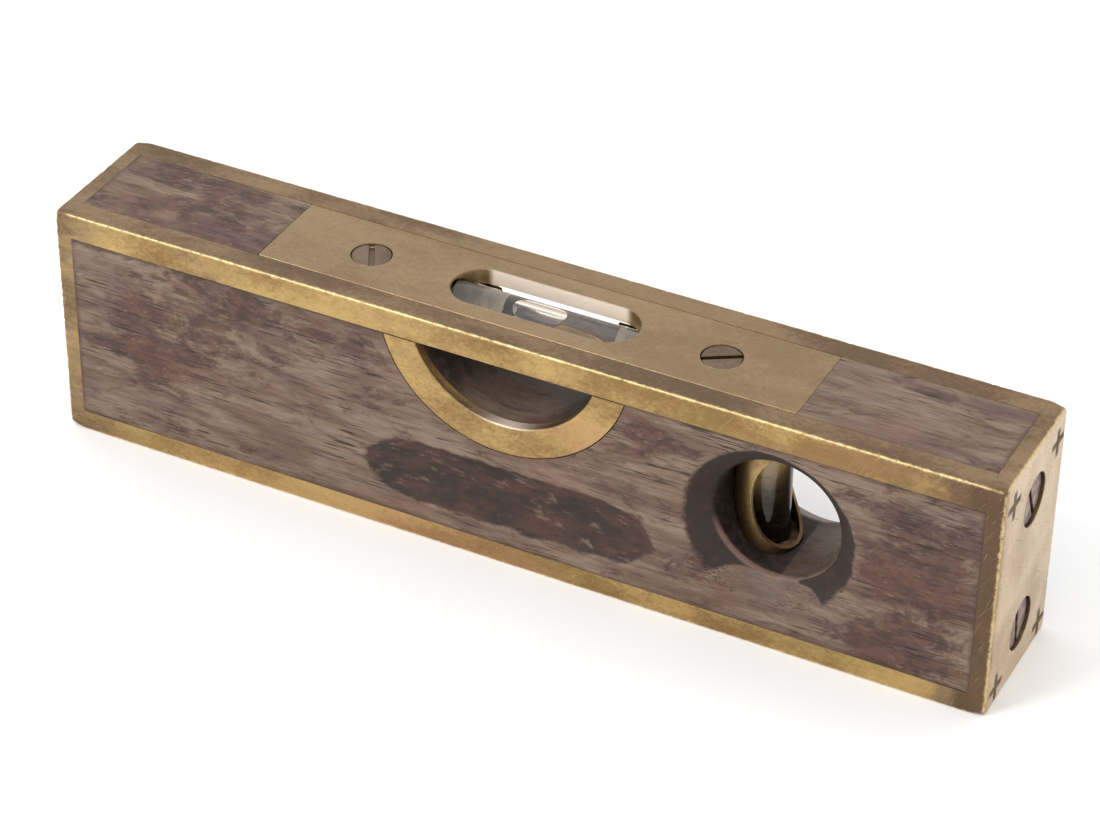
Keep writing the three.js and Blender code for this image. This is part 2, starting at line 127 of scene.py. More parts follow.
# x, z, radius and turn in degrees of the sweep cut out of the plumb tube
PLUMB_VIEW = (49.81, 21.02, 11.13, 10.35)
LEVEL_Z = 35.9
GLASS_IOR = 1.5
SPIRIT_IOR = 1.36
LEVEL_VIAL_RADIUS = 4.0
LEVEL_BORE = 3.0
VIAL_BASE = 1.2
PLUMB_X = 38.44
PLUMB_VIAL_RADIUS = 3.3
PLUMB_BORE_IN_GLASS = 2.4
BUBBLE_HALF_WIDTH = 2.1
BUBBLE_SAG = 0.9
# for each piece of plaster: axis, outer and inner end, and where it starts to go round the vial
PLASTER = {
    "level_plaster_left": (0, (-21.9, -7.3), -17.1),
    "level_plaster_right": (0, (22.3, 9.7), 17.5),
    "plumb_plaster_lower": (2, (4.6, 12.7), 6.3),
    "plumb_plaster_upper": (2, (37.8, 30.6), 36.1),
}

PLATE_SCREW = {"head": 3.1, "edge": 0.4, "cone": 1.4, "shank": 1.5, "length": 10.0}
PLATE_SCREW.update(recess=0.15, slot_width=0.85, slot_depth=0.6)
END_SCREW = {"head": 4.1, "edge": 0.5, "cone": 1.3, "shank": 2.0, "length": 13.0}
END_SCREW.update(recess=0.6, slot_width=0.95, slot_depth=0.9)
# x and the slot's turn in degrees
PLATE_SCREW_PLACES = {"plate_screw_left": (-29.35, -62), "plate_screw_right": (29.6, 32)}
# side, y, z and the slot's turn in degrees
END_SCREW_PLACES = {
    "end_screw_left_upper": (-1, -1.0, 31.0, 16),
    "end_screw_left_lower": (-1, -0.6, 8.6, -52),
    "end_screw_right_upper": (1, 1.0, 31.0, 24),
    "end_screw_right_lower": (1, 0.6, 8.6, 8),
}

# ---------------------------------------------------------------- mesh helpers


def mesh_object(name, points, faces):
    """A new object from points in millimetres."""
    mesh = bpy.data.meshes.new(name)
    mesh.from_pydata((np.asarray(points, float) * MM).tolist(), [], [list(face) for face in faces])
    mesh.update()
    piece = bpy.data.objects.new(name, mesh)
    bpy.context.scene.collection.objects.link(piece)
    return piece


def points_of(piece):
    """The piece's vertices, in millimetres."""
    flat = np.empty(len(piece.data.vertices) * 3)
    piece.data.vertices.foreach_get("co", flat)
    return flat.reshape(-1, 3) / MM


def normals_of(piece):
    """The piece's vertex normals."""
    flat = np.empty(len(piece.data.vertices) * 3)
    piece.data.vertices.foreach_get("normal", flat)
    return flat.reshape(-1, 3)


def move_points(piece, points):
    """Sets the piece's vertices, in millimetres."""
    piece.data.vertices.foreach_set("co", (points * MM).ravel())
    piece.data.update()


def apply_modifiers(piece):
    """Turns the piece's modifiers into plain mesh."""
    graph = bpy.context.evaluated_depsgraph_get()
    mesh = bpy.data.meshes.new_from_object(piece.evaluated_get(graph))
    piece.modifiers.clear()
    piece.data = mesh


def carve(piece, cutter, operation="DIFFERENCE"):
    """Cuts another closed object out of the piece, or joins it on, and deletes it."""
    modifier = piece.modifiers.new("carve", "BOOLEAN")
    modifier.object = cutter
    modifier.operation = operation
    modifier.solver = "MANIFOLD"
    apply_modifiers(piece)
    bpy.data.objects.remove(cutter)


def shade(piece, angle=35):
    """Smooth shading that keeps edges sharper than the angle, in degrees."""
    piece.data.shade_smooth()
    piece.data.set_sharp_from_angle(angle=math.radians(angle))


def finish_piece(piece, node, material, body="body", angle=35):
    """Gives a piece its material and slot, and lets it stand for its CAD node."""
    piece.data.materials.clear()
    piece.data.materials.append(material)
    shade(piece, angle)
    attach(piece, body)
    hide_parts(node)


def attribute(piece, name, values):
    """Stores one number for each vertex, for the material to read."""
    layer = piece.data.attributes.new(name, "FLOAT", "POINT")
    layer.data.foreach_set("value", np.asarray(values, np.float32))


def spaced(start, stop, step):
    """Even places from start to stop, about a step apart."""
    return np.linspace(start, stop, max(round(abs(stop - start) / step), 1) + 1)


def graded(start, stop, coarse, fine, band):
    """Places from start to stop, in ascending order, with fine steps in the last band."""
    turn = stop - math.copysign(band, stop - start)
    return np.unique(np.concatenate([spaced(start, turn, coarse), spaced(turn, stop, fine)]))


def lattice_box(name, axes):
    """A closed box whose six sides are grids, with its lines at the places given on each axis."""
    counts = np.array([len(places) - 1 for places in axes])
    where = np.indices(counts + 1)
    on_side = np.zeros(counts + 1, bool)
    for axis in range(3):
        on_side |= (where[axis] == 0) | (where[axis] == counts[axis])
    index = np.full(counts + 1, -1)
    index[on_side] = np.arange(on_side.sum())
    steps = np.argwhere(on_side)
    points = np.stack([np.asarray(axes[axis])[steps[:, axis]] for axis in range(3)], axis=1)
    faces = []
    for axis in range(3):
        for end in (0, counts[axis]):
            layer = np.take(index, end, axis=axis)
            corners = [layer[:-1, :-1], layer[1:, :-1], layer[1:, 1:], layer[:-1, 1:]]
            quads = np.stack(corners, -1).reshape(-1, 4)
            outwards = (end == 0) == (axis == 1)
            faces.append(quads if outwards else quads[:, ::-1])
    return mesh_object(name, points, np.concatenate(faces))


def turned(name, profile, sides, place=Matrix.Identity(4)):
    """A closed solid turned about Z. Its (radius, height) points start and end on the axis."""
    points = []
    rows = []
    for radius, height in profile:
        if radius == 0:
            rows.append([len(points)] * sides)
            points.append((0, 0, height))
        else:
            rows.append([len(points) + k for k in range(sides)])
            for k in range(sides):
                turn = 2 * math.pi * k / sides
                points.append((radius * math.cos(turn), radius * math.sin(turn), height))
    faces = []
    for lower, upper in zip(rows, rows[1:]):
        for k in range(sides):
            after = (k + 1) % sides
            corners = [lower[k], lower[after], upper[after], upper[k]]
            faces.append(list(dict.fromkeys(corners)))
    moved = [place @ Vector(point) for point in points]
    return mesh_object(name, moved, faces)


def ring_faces(rings, count):
    """The quads between rings of points that all have the same count."""
    faces = []
    for near in range(0, (rings - 1) * count, count):
        far = near + count
        for j in range(count):
            after = (j + 1) % count
            faces.append([near + j, near + after, far + after, far + j])
    return faces


def extruded(name, outline, depth, place=Matrix.Identity(4)):
    """A prism over an anticlockwise outline in XY, from height 0 up to the depth."""
    count = len(outline)
    points = [place @ Vector((x, y, z)) for z in (0, depth) for x, y in outline]
    ends = [list(range(count))[::-1], list(range(count, 2 * count))]
    return mesh_object(name, points, ends + ring_faces(2, count))


def arc(centre, radius, start, end, steps):
    """Points along an arc, with its angles in degrees."""
    turns = np.radians(np.linspace(start, end, steps + 1))
    return [(centre[0] + radius * math.cos(t), centre[1] + radius * math.sin(t)) for t in turns]


ALONG_X = Matrix.Rotation(math.pi / 2, 4, "Y")
ALONG_Y = Matrix.Rotation(-math.pi / 2, 4, "X")


def level_place():
    """Turns a piece that stands on Z so that it lies along the level vial's axis."""
    return Matrix.Translation((0, 0, LEVEL_Z)) @ ALONG_X


def plumb_place(shift=0.0):
    """Moves a piece that stands on Z to the plumb vial's axis."""
    return Matrix.Translation((PLUMB_X + shift, 0, 0))


def laid_along_x(reach):
    """Lays a prism that stands on Z along X instead, its foot at minus the reach."""
    return Matrix(((0, 0, 1, -reach), (1, 0, 0, 0), (0, 1, 0, 0), (0, 0, 0, 1)))


def seen_from(place, points):
    """The points in the axes of a piece that was put in a place."""
    back = place.inverted()
    return np.array([back @ Vector(point) for point in points])


def from_centre(points, centre):
    """How far each point is from the line along Y through a centre given as x and z."""
    return np.hypot(points[:, 0] - centre[0], points[:, 2] - centre[1])


def rod(name, radius, span, place, sides=96, rings=1):
    """A cylinder between two heights on its own Z axis, then put in its place."""
    wall = [(radius, height) for height in np.linspace(*span, rings + 1)]
    return turned(name, [(0, span[0]), *wall, (0, span[1])], sides, place)


def ripple(points, scale, seed):
    """Smooth noise from -1 to 1, its features about a scale apart, in millimetres."""
    shift = Vector((seed * 17.3, seed * 5.1, seed * 9.7))
    return np.array([noise.noise(Vector(point) / scale + shift) for point in points])


def edge_distance(points):
    """How far each point is from the nearest outer edge of the whole level."""
    to_sides = np.concatenate([points - OBJECT_LOW, OBJECT_HIGH - points], axis=1)
    return np.sort(to_sides, axis=1)[:, 1]


def rounding(points, low, high, radius, low_sides, high_sides):
    """Rounds off the edges where the named low and high sides of a box meet."""
    radius = np.broadcast_to(np.asarray(radius, float).reshape(-1, 1), (len(points), 1))
    nearest = np.clip(points, low + np.array(low_sides) * radius, high - np.array(high_sides) * radius)
    away = points - nearest
    far = np.linalg.norm(away, axis=1, keepdims=True)
    share = np.abs(away).max(axis=1, keepdims=True) / np.maximum(far, 1e-9)
    return nearest + away * share


def fade(values, low, high):
    """0 up to the low value, 1 from the high value, and a smooth step between them."""
    share = np.clip((np.asarray(values, float) - low) / (high - low), 0, 1)
    return share * share * (3 - 2 * share)


def nicked(piece, nicks):
    """Presses small dents into a piece: each has a centre, a radius and a depth."""
    points = points_of(piece)
    normals = normals_of(piece)
    for centre, radius, depth in nicks:
        reach = np.linalg.norm((points - centre) / radius, axis=1)
        near = reach < 1
        fall = (1 - reach[near] ** 2) ** 2
        points[near] -= normals[near] * (depth * fall)[:, None]
    move_points(piece, points)


# ---------------------------------------------------------------- brass binding


def edge_nicks(seed, count, span, fixed, sizes):
    """Random nicks along an outer edge: fixed gives its place, with nan on the axis it runs along."""
    pick = random.Random(seed)
    nicks = []
    for _ in range(count):
        centre = np.array(fixed, float)
        axis = int(np.flatnonzero(np.isnan(centre))[0])
        centre[axis] = pick.uniform(*span)
        size = pick.choice(sizes)
        shape = np.full(3, size * 1.3)
        shape[axis] = size * pick.uniform(0.6, 1.3)
        nicks.append((centre, shape, size * pick.uniform(0.25, 0.5)))
    return nicks


def wear_down(piece):
    """Wears the brass a little below its true faces, running on across every joint."""
    points = points_of(piece)
    normals = normals_of(piece)
    normals[np.abs(points[:, 0]) < LENGTH / 2 - 1, 0] = 0
    depth = 0.012 * (1 + ripple(points, 7, 2)) + 0.005 * (1 + ripple(points, 1.5, 3))
    move_points(piece, points - normals * depth[:, None])


def edge_radius(points, middle):
    """The radius of a worn outer edge, which changes slowly along the level."""
    return middle + 0.1 * ripple(points * (1, 0.2, 0.2), 9, 4) + 0.06 * ripple(points, 1.7, 5)


def tongue(side, level, inner_y, inner_z, reach):
    """The beaded tongue on a rail's inner corner, as a keyhole outline swept along X."""
    half = TONGUE_NECK / 2
    start = math.degrees(math.asin(half / TONGUE_BEAD))
    outline = [(-half, -half), *arc((TONGUE_REACH, 0), TONGUE_BEAD, start - 180, 180 - start, 20)]
    outline.append((-half, half))
    inwards = Matrix.Rotation(math.atan2(-level, -side), 4, "X")
    place = Matrix.Translation((0, inner_y, inner_z)) @ inwards @ laid_along_x(reach)
    piece = extruded("tongue", outline, 2 * reach, place)
    if level > 0:
        carve(piece, through_cutter(SIGHT_CENTRE, SIGHT_INNER, (-FACE - 1, FACE + 1)))
    return piece


def rail_place(name):
    """Whether a rail is at the top (1) or bottom (-1), and at the rear (1) or front (-1)."""
    return (1 if "top" in name else -1), (1 if "rear" in name else -1)


def rail(name, seed):
    """One rail: a worn bar with a rounded outer edge, and its tongue."""
    level, side = rail_place(name)
    reach = INNER_END - JOINT_GAP
    inner_z = HEIGHT - RAIL_HEIGHT["top"] if level > 0 else RAIL_HEIGHT["bottom"]
    inner = (side * (FACE - RAIL_WIDTH), inner_z)
    outer = (side * FACE, HEIGHT if level > 0 else 0)
    across = [graded(inner[k], outer[k], 0.35, 0.1, 1.1) for k in (0, 1)]
    piece = lattice_box(name + "_worn", [spaced(-reach, reach, 0.22), *across])
    points = points_of(piece)
    low = points.min(axis=0)
    high = points.max(axis=0)
    radius = EDGE_RADIUS + edge_radius(points, 0.0) * fade(np.abs(points[:, 0]), reach, reach - 4)
    front, rear = side < 0, side > 0
    under, over = level < 0, level > 0
    points = rounding(points, low, high, radius, (0, front, under), (0, rear, over))
    points = rounding(points, low, high, INNER_EDGE_RADIUS, (0, rear, under), (0, front, over))
    points = rounding(points, low, high, INNER_EDGE_RADIUS, (0, front, over), (0, rear, under))
    move_points(piece, points)
    wear_down(piece)
    outer_z = HEIGHT - 0.1 if level > 0 else 0.1
    place = (np.nan, side * (FACE - 0.1), outer_z)
    nicked(piece, edge_nicks(seed, RAIL_NICK_COUNT[side], (-reach, reach), place, RAIL_NICKS))
    mark_brass(piece)
    carve(piece, tongue(side, level, *inner, reach), "UNION")
    return piece


def plate_rounding(points, low, high, side, corner, edge):
    """Rounds an end plate's four corners, then the edge round its outer face."""
    points = rounding(points, low, high, corner, (0, 1, 1), (0, 1, 1))
    corner = corner.reshape(-1, 1)
    core = np.clip(points[:, 1:], low[1:] + corner, high[1:] - corner)
    away = points[:, 1:] - core
    corner = corner[:, 0]
    out = np.linalg.norm(away, axis=1)
    face = high[0] if side > 0 else low[0]
    down = np.maximum(edge - np.abs(points[:, 0] - face), 0)
    over = np.maximum(out - (corner - edge), 0)
    share = np.maximum(down, over) / np.maximum(np.hypot(down, over), 1e-9)
    scale = np.where((down > 0) & (over > 0), share, 1)
    new_out = np.where(over > 0, (corner - edge) + over * scale, out)
    points[:, 1:] = core + away * (new_out / np.maximum(out, 1e-9))[:, None]
    points[:, 0] = np.where(down > 0, face - side * (edge - down * scale), points[:, 0])
    return points


def mark_brass(piece, grime=0.0, pale_patch=0.0):
    """Stores where a brass piece is rubbed, dull, pale or grimy, where a painted highlight goes, and where
    its top faces are dulled partly as painted shade, for its material.
    """
    points = points_of(piece)
    normals = normals_of(piece)
    x = points[:, 0]
    up = fade(normals[:, 2], 0.5, 0.9)
    endways = fade(np.abs(normals[:, 0]), 0.5, 0.9) * (np.abs(x) > LENGTH / 2 - 0.5)
    upright = (1 - endways) * (1 - up)
    on_end = fade(np.abs(x), INNER_END - 12, INNER_END)
    right_end = fade(x, INNER_END - 7, INNER_END)
    smears = sum(strength * np.exp(-((x - centre) / wide) ** 2) for centre, wide, strength in SMEARS)
    smears *= points[:, 2] > HEIGHT / 2
    # the top faces are dulled as painted shade as well as by dust; the ends and smears are tarnish from
    # handling
    dull = 0.85 * up + (0.6 * on_end + 0.95 * right_end + smears) * upright
    from_front = points[:, 1] + FACE + 0.5 * ripple(points, 2.5, 6)
    attribute(piece, "edge", edge_distance(points))
    attribute(piece, "dull", dull)
    attribute(piece, "pale", endways * (0.25 + 0.75 * fade(from_front, 0.7, 1.9)))
    attribute(piece, "grime", np.broadcast_to(grime, len(points)))
    attribute(piece, "pale_patch", np.broadcast_to(pale_patch, len(points)))


def screw_place(name):
    """Where a screw's head is: its own +Z points out of the level."""
    if name in PLATE_SCREW_PLACES:
        x, turn = PLATE_SCREW_PLACES[name]
        out = Matrix.Translation((x, 0, HEIGHT - PLATE_SCREW["recess"]))
    else:
        side, y, z, turn = END_SCREW_PLACES[name]
        shift = Matrix.Translation((side * (LENGTH / 2 - END_SCREW["recess"]), y, z))
        out = shift @ Matrix.Rotation(side * math.pi / 2, 4, "Y")
    return out @ Matrix.Rotation(math.radians(turn), 4, "Z")


def screw_hole(name, sizes):
    """A screw's countersunk hole, opening out a little at its mouth."""
    head = sizes["head"] + FIT_GAP
    shank = sizes["shank"] + FIT_GAP
    shoulder = -sizes["edge"] - sizes["cone"]
    lip = 0.18
    mouth = sizes["recess"]
    profile = [
        (0, shoulder - sizes["length"] - FIT_GAP),
        (shank, shoulder - sizes["length"] - FIT_GAP),
        (shank, shoulder - FIT_GAP),
        (head, -sizes["edge"] - FIT_GAP),
        (head, mouth - lip),
        (head + 0.06, mouth - lip / 3),
        (head + lip, mouth),
        (head + 3 * lip, mouth + 1),
        (0, mouth + 1),
    ]
    return turned("hole", profile, 96, screw_place(name))


def outward(points, faces):
    """The faces, all turned round if they face inwards."""
    volume = sum(Vector(points[f[0]]).dot(Vector(points[f[1]]).cross(Vector(points[f[2]]))) for f in faces)
    return faces if volume > 0 else [face[::-1] for face in faces]


def chisel_cut(centre, direction, side):
    """A tapered V-shaped cut, deepest in the middle, in an end plate's outer face."""
    across = Vector((0, -direction.z, direction.y))
    out = Vector((side, 0, 0)) * CROSS_DEPTH
    middle = Vector(centre)
    points = [middle - direction * CROSS_ARM + out]
    for shift in (-0.75 * CROSS_ARM, 0.75 * CROSS_ARM):
        base = middle + direction * shift
        points += [base + across * CROSS_HALF * 2 + out, base - out, base - across * CROSS_HALF * 2 + out]
    points.append(middle + direction * CROSS_ARM + out)
    faces = [(0, 2, 1), (0, 3, 2), (0, 1, 3), (7, 4, 5), (7, 5, 6), (7, 6, 4)]
    for first, second in ((1, 2), (2, 3), (3, 1)):
        faces += [(first, second, second + 3), (first, second + 3, first + 3)]
    return mesh_object("cut", points, outward([point - middle for point in points], faces))


def end_plate_nicks(side, seed):
    """Nicks all round an end plate's outer edge."""
    x = side * (LENGTH / 2 - 0.12)
    nicks = []
    for number, y in enumerate((-FACE + 0.15, FACE - 0.15)):
        nicks += edge_nicks(seed + number, 50, (0.5, HEIGHT - 0.5), (x, y, np.nan), PLATE_NICKS)
    for number, z in enumerate((0.15, HEIGHT - 0.15)):
        nicks += edge_nicks(seed + 2 + number, 16, (-FACE, FACE), (x, np.nan, z), PLATE_NICKS)
    return nicks


def end_plate_grime(points, side, crosses):
    """Dirt in an end plate's crosses and on the walls of its screw holes."""
    grime = np.zeros(len(points))
    sunk = fade(np.abs(points[:, 0]), LENGTH / 2 - 0.06, LENGTH / 2 - 0.2)
    for across, z in crosses:
        dy = np.abs(points[:, 1] - across)
        dz = np.abs(points[:, 2] - z)
        in_arm = (np.minimum(dy, dz) < CROSS_HALF) & (np.maximum(dy, dz) < CROSS_ARM)
        grime = np.maximum(grime, in_arm * np.maximum(sunk, 0.85))
    for screw_side, y, z, _ in END_SCREW_PLACES.values():
        ring = np.hypot(points[:, 1] - y, points[:, 2] - z) - END_SCREW["head"]
        grime = np.maximum(grime, 0.75 * sunk * (screw_side == side) * (ring < 0.25))
    return grime


def end_plate(name, side, seed):
    """One end plate, with its worn outer edge, screw holes and cross marks."""
    low, high = box_mm(name)
    middle = (low + high) / 2
    axes = [graded(side * INNER_END, side * LENGTH / 2, 0.5, 0.1, 1.0)]
    for axis in (1, 2):
        halves = [graded(middle[axis], end[axis], 0.3, 0.1, 1.2) for end in (low, high)]
        axes.append(np.unique(np.concatenate(halves)))
    piece = lattice_box(name + "_worn", axes)
    points = points_of(piece)
    out = fade(np.abs(points[:, 0]), INNER_END, LENGTH / 2)
    corner = EDGE_RADIUS + (PLATE_CORNER - EDGE_RADIUS) * out
    edge = np.clip(edge_radius(points, 0.5), 0.3, 0.75)
    move_points(piece, plate_rounding(points, low, high, side, corner, np.minimum(edge, corner)))
    wear_down(piece)
    nicked(piece, end_plate_nicks(side, seed))
    crosses = [(side * across, z) for across in CROSS_ACROSS for z in CROSS_HEIGHTS]
    for across, z in crosses:
        for direction in (Vector((0, 1, 0)), Vector((0, 0, 1))):
            carve(piece, chisel_cut((side * LENGTH / 2, across, z), direction, side))
    for screw_name, (screw_side, *_) in END_SCREW_PLACES.items():
        if screw_side == side:
            carve(piece, screw_hole(screw_name, END_SCREW))
    mark_brass(piece, end_plate_grime(points_of(piece), side, crosses))
    return piece


def screw(name, sizes):
    """A slotted countersunk screw with a worn head."""
    head = sizes["head"]
    shoulder = -sizes["edge"] - sizes["cone"]
    soft = 0.16
    rim = arc((head - soft, -soft), soft, 0, 90, 5)
    profile = [
        (0, shoulder - sizes["length"]),
        (0.2, shoulder - sizes["length"]),
        (sizes["shank"], shoulder - sizes["length"] + 3),
        (sizes["shank"], shoulder),
        (head, -sizes["edge"]),
        *rim,
        (head * 0.6, 0),
        (head * 0.3, 0),
        (0, 0),
    ]
    piece = turned(name + "_worn", profile, 96, screw_place(name))
    half = sizes["slot_width"] / 2
    deep = sizes["slot_depth"]
    lip = 0.07
    top = 0.5
    outline = [(-half, -deep), (half, -deep), (half, -lip)]
    outline += [(half + lip, 0), (half + lip, top), (-half - lip, top), (-half - lip, 0), (-half, -lip)]
    reach = head + 1
    carve(piece, extruded("slot", outline, 2 * reach, screw_place(name) @ laid_along_x(reach)))
    in_slot = fade(seen_from(screw_place(name), points_of(piece))[:, 2], -0.1, -0.5)
    mark_brass(piece, (0.3 if name in PLATE_SCREW_PLACES else 1.0) * in_slot)
    return piece


def crescent(name, side, thick, under):
    """A flat crescent round the sight's centre, cut off level at a height, with softened edges."""
    soft = 0.22
    section = [
        (SIGHT_INNER, 0),
        *arc((SIGHT_INNER + 2 * soft, thick - 2 * soft), 2 * soft, 180, 90, 6),
        *[(r, thick) for r in np.linspace(SIGHT_INNER + 1, SIGHT_OUTER - 1, 9)],
        *arc((SIGHT_OUTER - soft, thick - soft), soft, 90, 0, 4),
        (SIGHT_OUTER, 0),
    ]
    steps = 150
    points = []
    for k in range(steps + 1):
        for radius, out in section:
            start = math.asin((under - SIGHT_CENTRE[1]) / radius)
            turn = start + (-math.pi - 2 * start) * k / steps
            y = side * (FACE - thick + out)
            x = SIGHT_CENTRE[0] + radius * math.cos(turn)
            points.append((x, y, SIGHT_CENTRE[1] + radius * math.sin(turn)))
    count = len(section)
    faces = ring_faces(steps + 1, count)
    faces.append(list(range(count))[::-1])
    faces.append([steps * count + j for j in range(count)])
    if side < 0:
        faces = [corners[::-1] for corners in faces]
    return mesh_object(name, points, faces)


def sight_rim(name, side):
    """A worn brass crescent. The lowest part of the front one's inner wall catches the light."""
    low, high = box_mm(name)
    piece = crescent(name + "_worn", side, high[1] - low[1], high[2])
    points = points_of(piece)
    wave = 0.01 * (1 + ripple(points, 4, 31 + side))
    on_face = side * points[:, 1] > FACE - 0.3
    points[:, 1] -= side * wave * on_face
    move_points(piece, points)
    inside = fade(from_centre(points, SIGHT_CENTRE), SIGHT_INNER + 0.3, SIGHT_INNER + 0.1)
    lowest = np.exp(-((points[:, 0] - SIGHT_CENTRE[0] - 1) / 4) ** 2)
    # painted highlight on the lowest part of the front rim's inner wall
    mark_brass(piece, 0.0, 0.75 * inside * lowest * (side < 0))
    return piece


# ---------------------------------------------------------------- top plate


def window_cutter(low_z, high_z):
    """A round-ended slot with a softened top edge."""
    radius = WINDOW_WIDTH / 2
    reach = WINDOW_LENGTH / 2 - radius
    lip = 0.2
    heights = [(low_z, 0), (high_z - lip, 0), (high_z - lip / 3, 0.07)]
    heights += [(high_z, lip), (high_z + 1, 3 * lip)]
    points = []
    for z, grow in heights:
        outline = arc((WINDOW_X + reach, 0), radius + grow, -90, 90, 32)
        outline += arc((WINDOW_X - reach, 0), radius + grow, 90, 270, 32)
        points += [(x, y, z) for x, y in outline]
    count = len(points) // len(heights)
    ends = [list(range(count))[::-1], [len(points) - count + j for j in range(count)]]
    return mesh_object("window", points, ends + ring_faces(len(heights), count))


def mark_top_plate(piece, top):
    """Marks the rear wall of the window for a painted highlight, and the dirt round the screws."""
    points = points_of(piece)
    reach = WINDOW_LENGTH / 2 - WINDOW_WIDTH / 2
    dx = np.maximum(np.abs(points[:, 0] - WINDOW_X) - reach, 0)
    from_slot = np.abs(np.hypot(dx, points[:, 1]) - WINDOW_WIDTH / 2)
    # painted highlight: the window's rear wall is drawn near white and less metallic
    pale_patch = (from_slot < 0.15) * fade(points[:, 2], top, top - 0.15)
    pale_patch = pale_patch * fade(dx, 1.6, 0.4) * (points[:, 1] > 0)
    grime = np.zeros(len(points))
    for x, _ in PLATE_SCREW_PLACES.values():
        ring = np.hypot(points[:, 0] - x, points[:, 1]) - PLATE_SCREW["head"]
        grime = np.maximum(grime, 0.3 * (ring < 0.3) * fade(points[:, 2], top - 0.03, top - 0.12))
    mark_brass(piece, grime, pale_patch)


def top_plate(seed):
    """The plate over the level vial, with its window, screw holes and a relief for the vial."""
    low, high = box_mm("top_plate")
    high[1] = FACE - RAIL_WIDTH - SEAT_GAP
    axes = [spaced(low[axis], high[axis], 0.4) for axis in range(3)]
    for axis, band in enumerate((1.0, 1.0, 0.6)):
        inner = axes[axis][np.abs(axes[axis] - low[axis]) > band]
        inner = inner[np.abs(inner - high[axis]) > band]
        rims = [spaced(low[axis], low[axis] + band, 0.15), spaced(high[axis] - band, high[axis], 0.15)]
        axes[axis] = np.unique(np.concatenate([rims[0], inner, rims[1]]).round(6))
    piece = lattice_box("top_plate_worn", axes)
    points = points_of(piece)
    points = rounding(points, low, high, 0.2, (1, 1, 0), (1, 1, 1))
    wave = 0.012 * (1 + ripple(points, 8, seed))
    points[:, 2] -= wave * (points[:, 2] > high[2] - 0.3)
    move_points(piece, points)
    carve(piece, window_cutter(low[2] - 1, high[2]))
    carve(piece, rod("relief", RELIEF_RADIUS, RELIEF_SPAN, level_place()))
    for screw_name in PLATE_SCREW_PLACES:
        carve(piece, screw_hole(screw_name, PLATE_SCREW))
    mark_top_plate(piece, high[2])
    return piece


# ---------------------------------------------------------------- wooden stock


def groove_cutter(side):
    """The finger groove: a bar with long rounded ends, sunk into one face."""
    half = GROOVE["height"] / 2
    depth = GROOVE["depth"]
    radius = (half ** 2 + depth ** 2) / (2 * depth)
    straight = GROOVE["length"] / 2 - GROOVE["end"]
    reach = radius * GROOVE["end"] / half
    turns = np.linspace(0, math.pi / 2, 31)[:-1]
    upper = [(radius * math.cos(t), straight + reach * math.sin(t)) for t in turns]
    lower = [(r, -along) for r, along in reversed(upper)]
    tips = straight + reach
    profile = [(0, -tips), *lower, *upper, (0, tips)]
    place = Matrix.Translation((GROOVE["x"], side * (FACE + radius - depth), GROOVE["z"])) @ ALONG_X
    return turned("groove", profile, 240, place)


def flare_cutter(side):
    """The cone that opens the plumb hole out to one face, with a softened rim."""
    depth = FLARE_DEPTH[side]
    soft = 0.35
    start = (PLUMB_BORE + 0.3, FACE - depth + 0.15)
    end = (PLUMB_FLARE - soft, FACE - soft)
    cone = [tuple(np.add(start, np.subtract(end, start) * k / 10)) for k in range(11)]
    profile = [
        (0, FACE - depth - 1),
        (PLUMB_BORE - 0.02, FACE - depth - 1),
        (PLUMB_BORE, FACE - depth - 0.3),
        *cone,
        (PLUMB_FLARE, FACE - soft / 4),
        (PLUMB_FLARE + soft, FACE + 0.02),
        (PLUMB_FLARE + 2 * soft, FACE + 1),
        (0, FACE + 1),
    ]
    spin = Matrix.Rotation(math.pi if side < 0 else 0, 4, "Z")
    place = Matrix.Translation((PLUMB_CENTRE[0], 0, PLUMB_CENTRE[1])) @ spin @ ALONG_Y
    return turned("flare", profile, 144, place)


def through_cutter(centre, radius, span):
    """A round hole along Y."""
    place = Matrix.Translation((centre[0], 0, centre[1])) @ ALONG_Y
    return rod("through", radius, span, place, 144, 30)


def block(low, high):
    """A plain cutting block."""
    return lattice_box("block", list(zip(low, high)))


def stain_distance(points):
    """How far each point on a side is outside the finger groove or the plumb flare."""
    half = GROOVE["height"] / 2
    straight = GROOVE["length"] / 2 - GROOVE["end"]
    dx = np.maximum(np.abs(points[:, 0] - GROOVE["x"]) - straight, 0) * half / GROOVE["end"]
    groove = np.hypot(dx, points[:, 2] - GROOVE["z"]) - half
    return groove, from_centre(points, PLUMB_CENTRE) - PLUMB_FLARE


def seam_distance(points):
    """How far each point on a side or the top is from the brass round it."""
    z = points[:, 2]
    across = np.minimum(z - RAIL_HEIGHT["bottom"], HEIGHT - RAIL_HEIGHT["top"] - z)
    across = np.where(z > HEIGHT - 1, 3.0, across)
    return np.minimum(across, INNER_END - np.abs(points[:, 0]))


def patchiness(points):
    """Where the old finish is left in dark patches, from about -1 to 1, the same on both sides."""
    total = np.full(len(points), -0.25)
    for x, z, wide, tall, strength in DARK_PATCHES:
        reach = ((points[:, 0] - x) / wide) ** 2 + ((points[:, 2] - z) / tall) ** 2
        total += strength * np.exp(-reach)
    return total


def wooden_block(seed, reach):
    """The stock before it is cut: a block, slightly uneven all over but its ends."""
    spans = ((-reach, reach), (-FACE, FACE), (0, HEIGHT))
    piece = lattice_box("stock_worn", [spaced(low, high, 0.7) for low, high in spans])
    points = points_of(piece)
    wave = 0.035 * (1 + ripple(points * (0.4, 1, 1), 6, seed))
    wave += 0.012 * (1 + ripple(points * (0.3, 1, 1), 1.6, seed + 1))
    inside = np.abs(points[:, 0:1]) < reach - 0.01
    move_points(piece, points - normals_of(piece) * wave[:, None] * inside)
    return piece


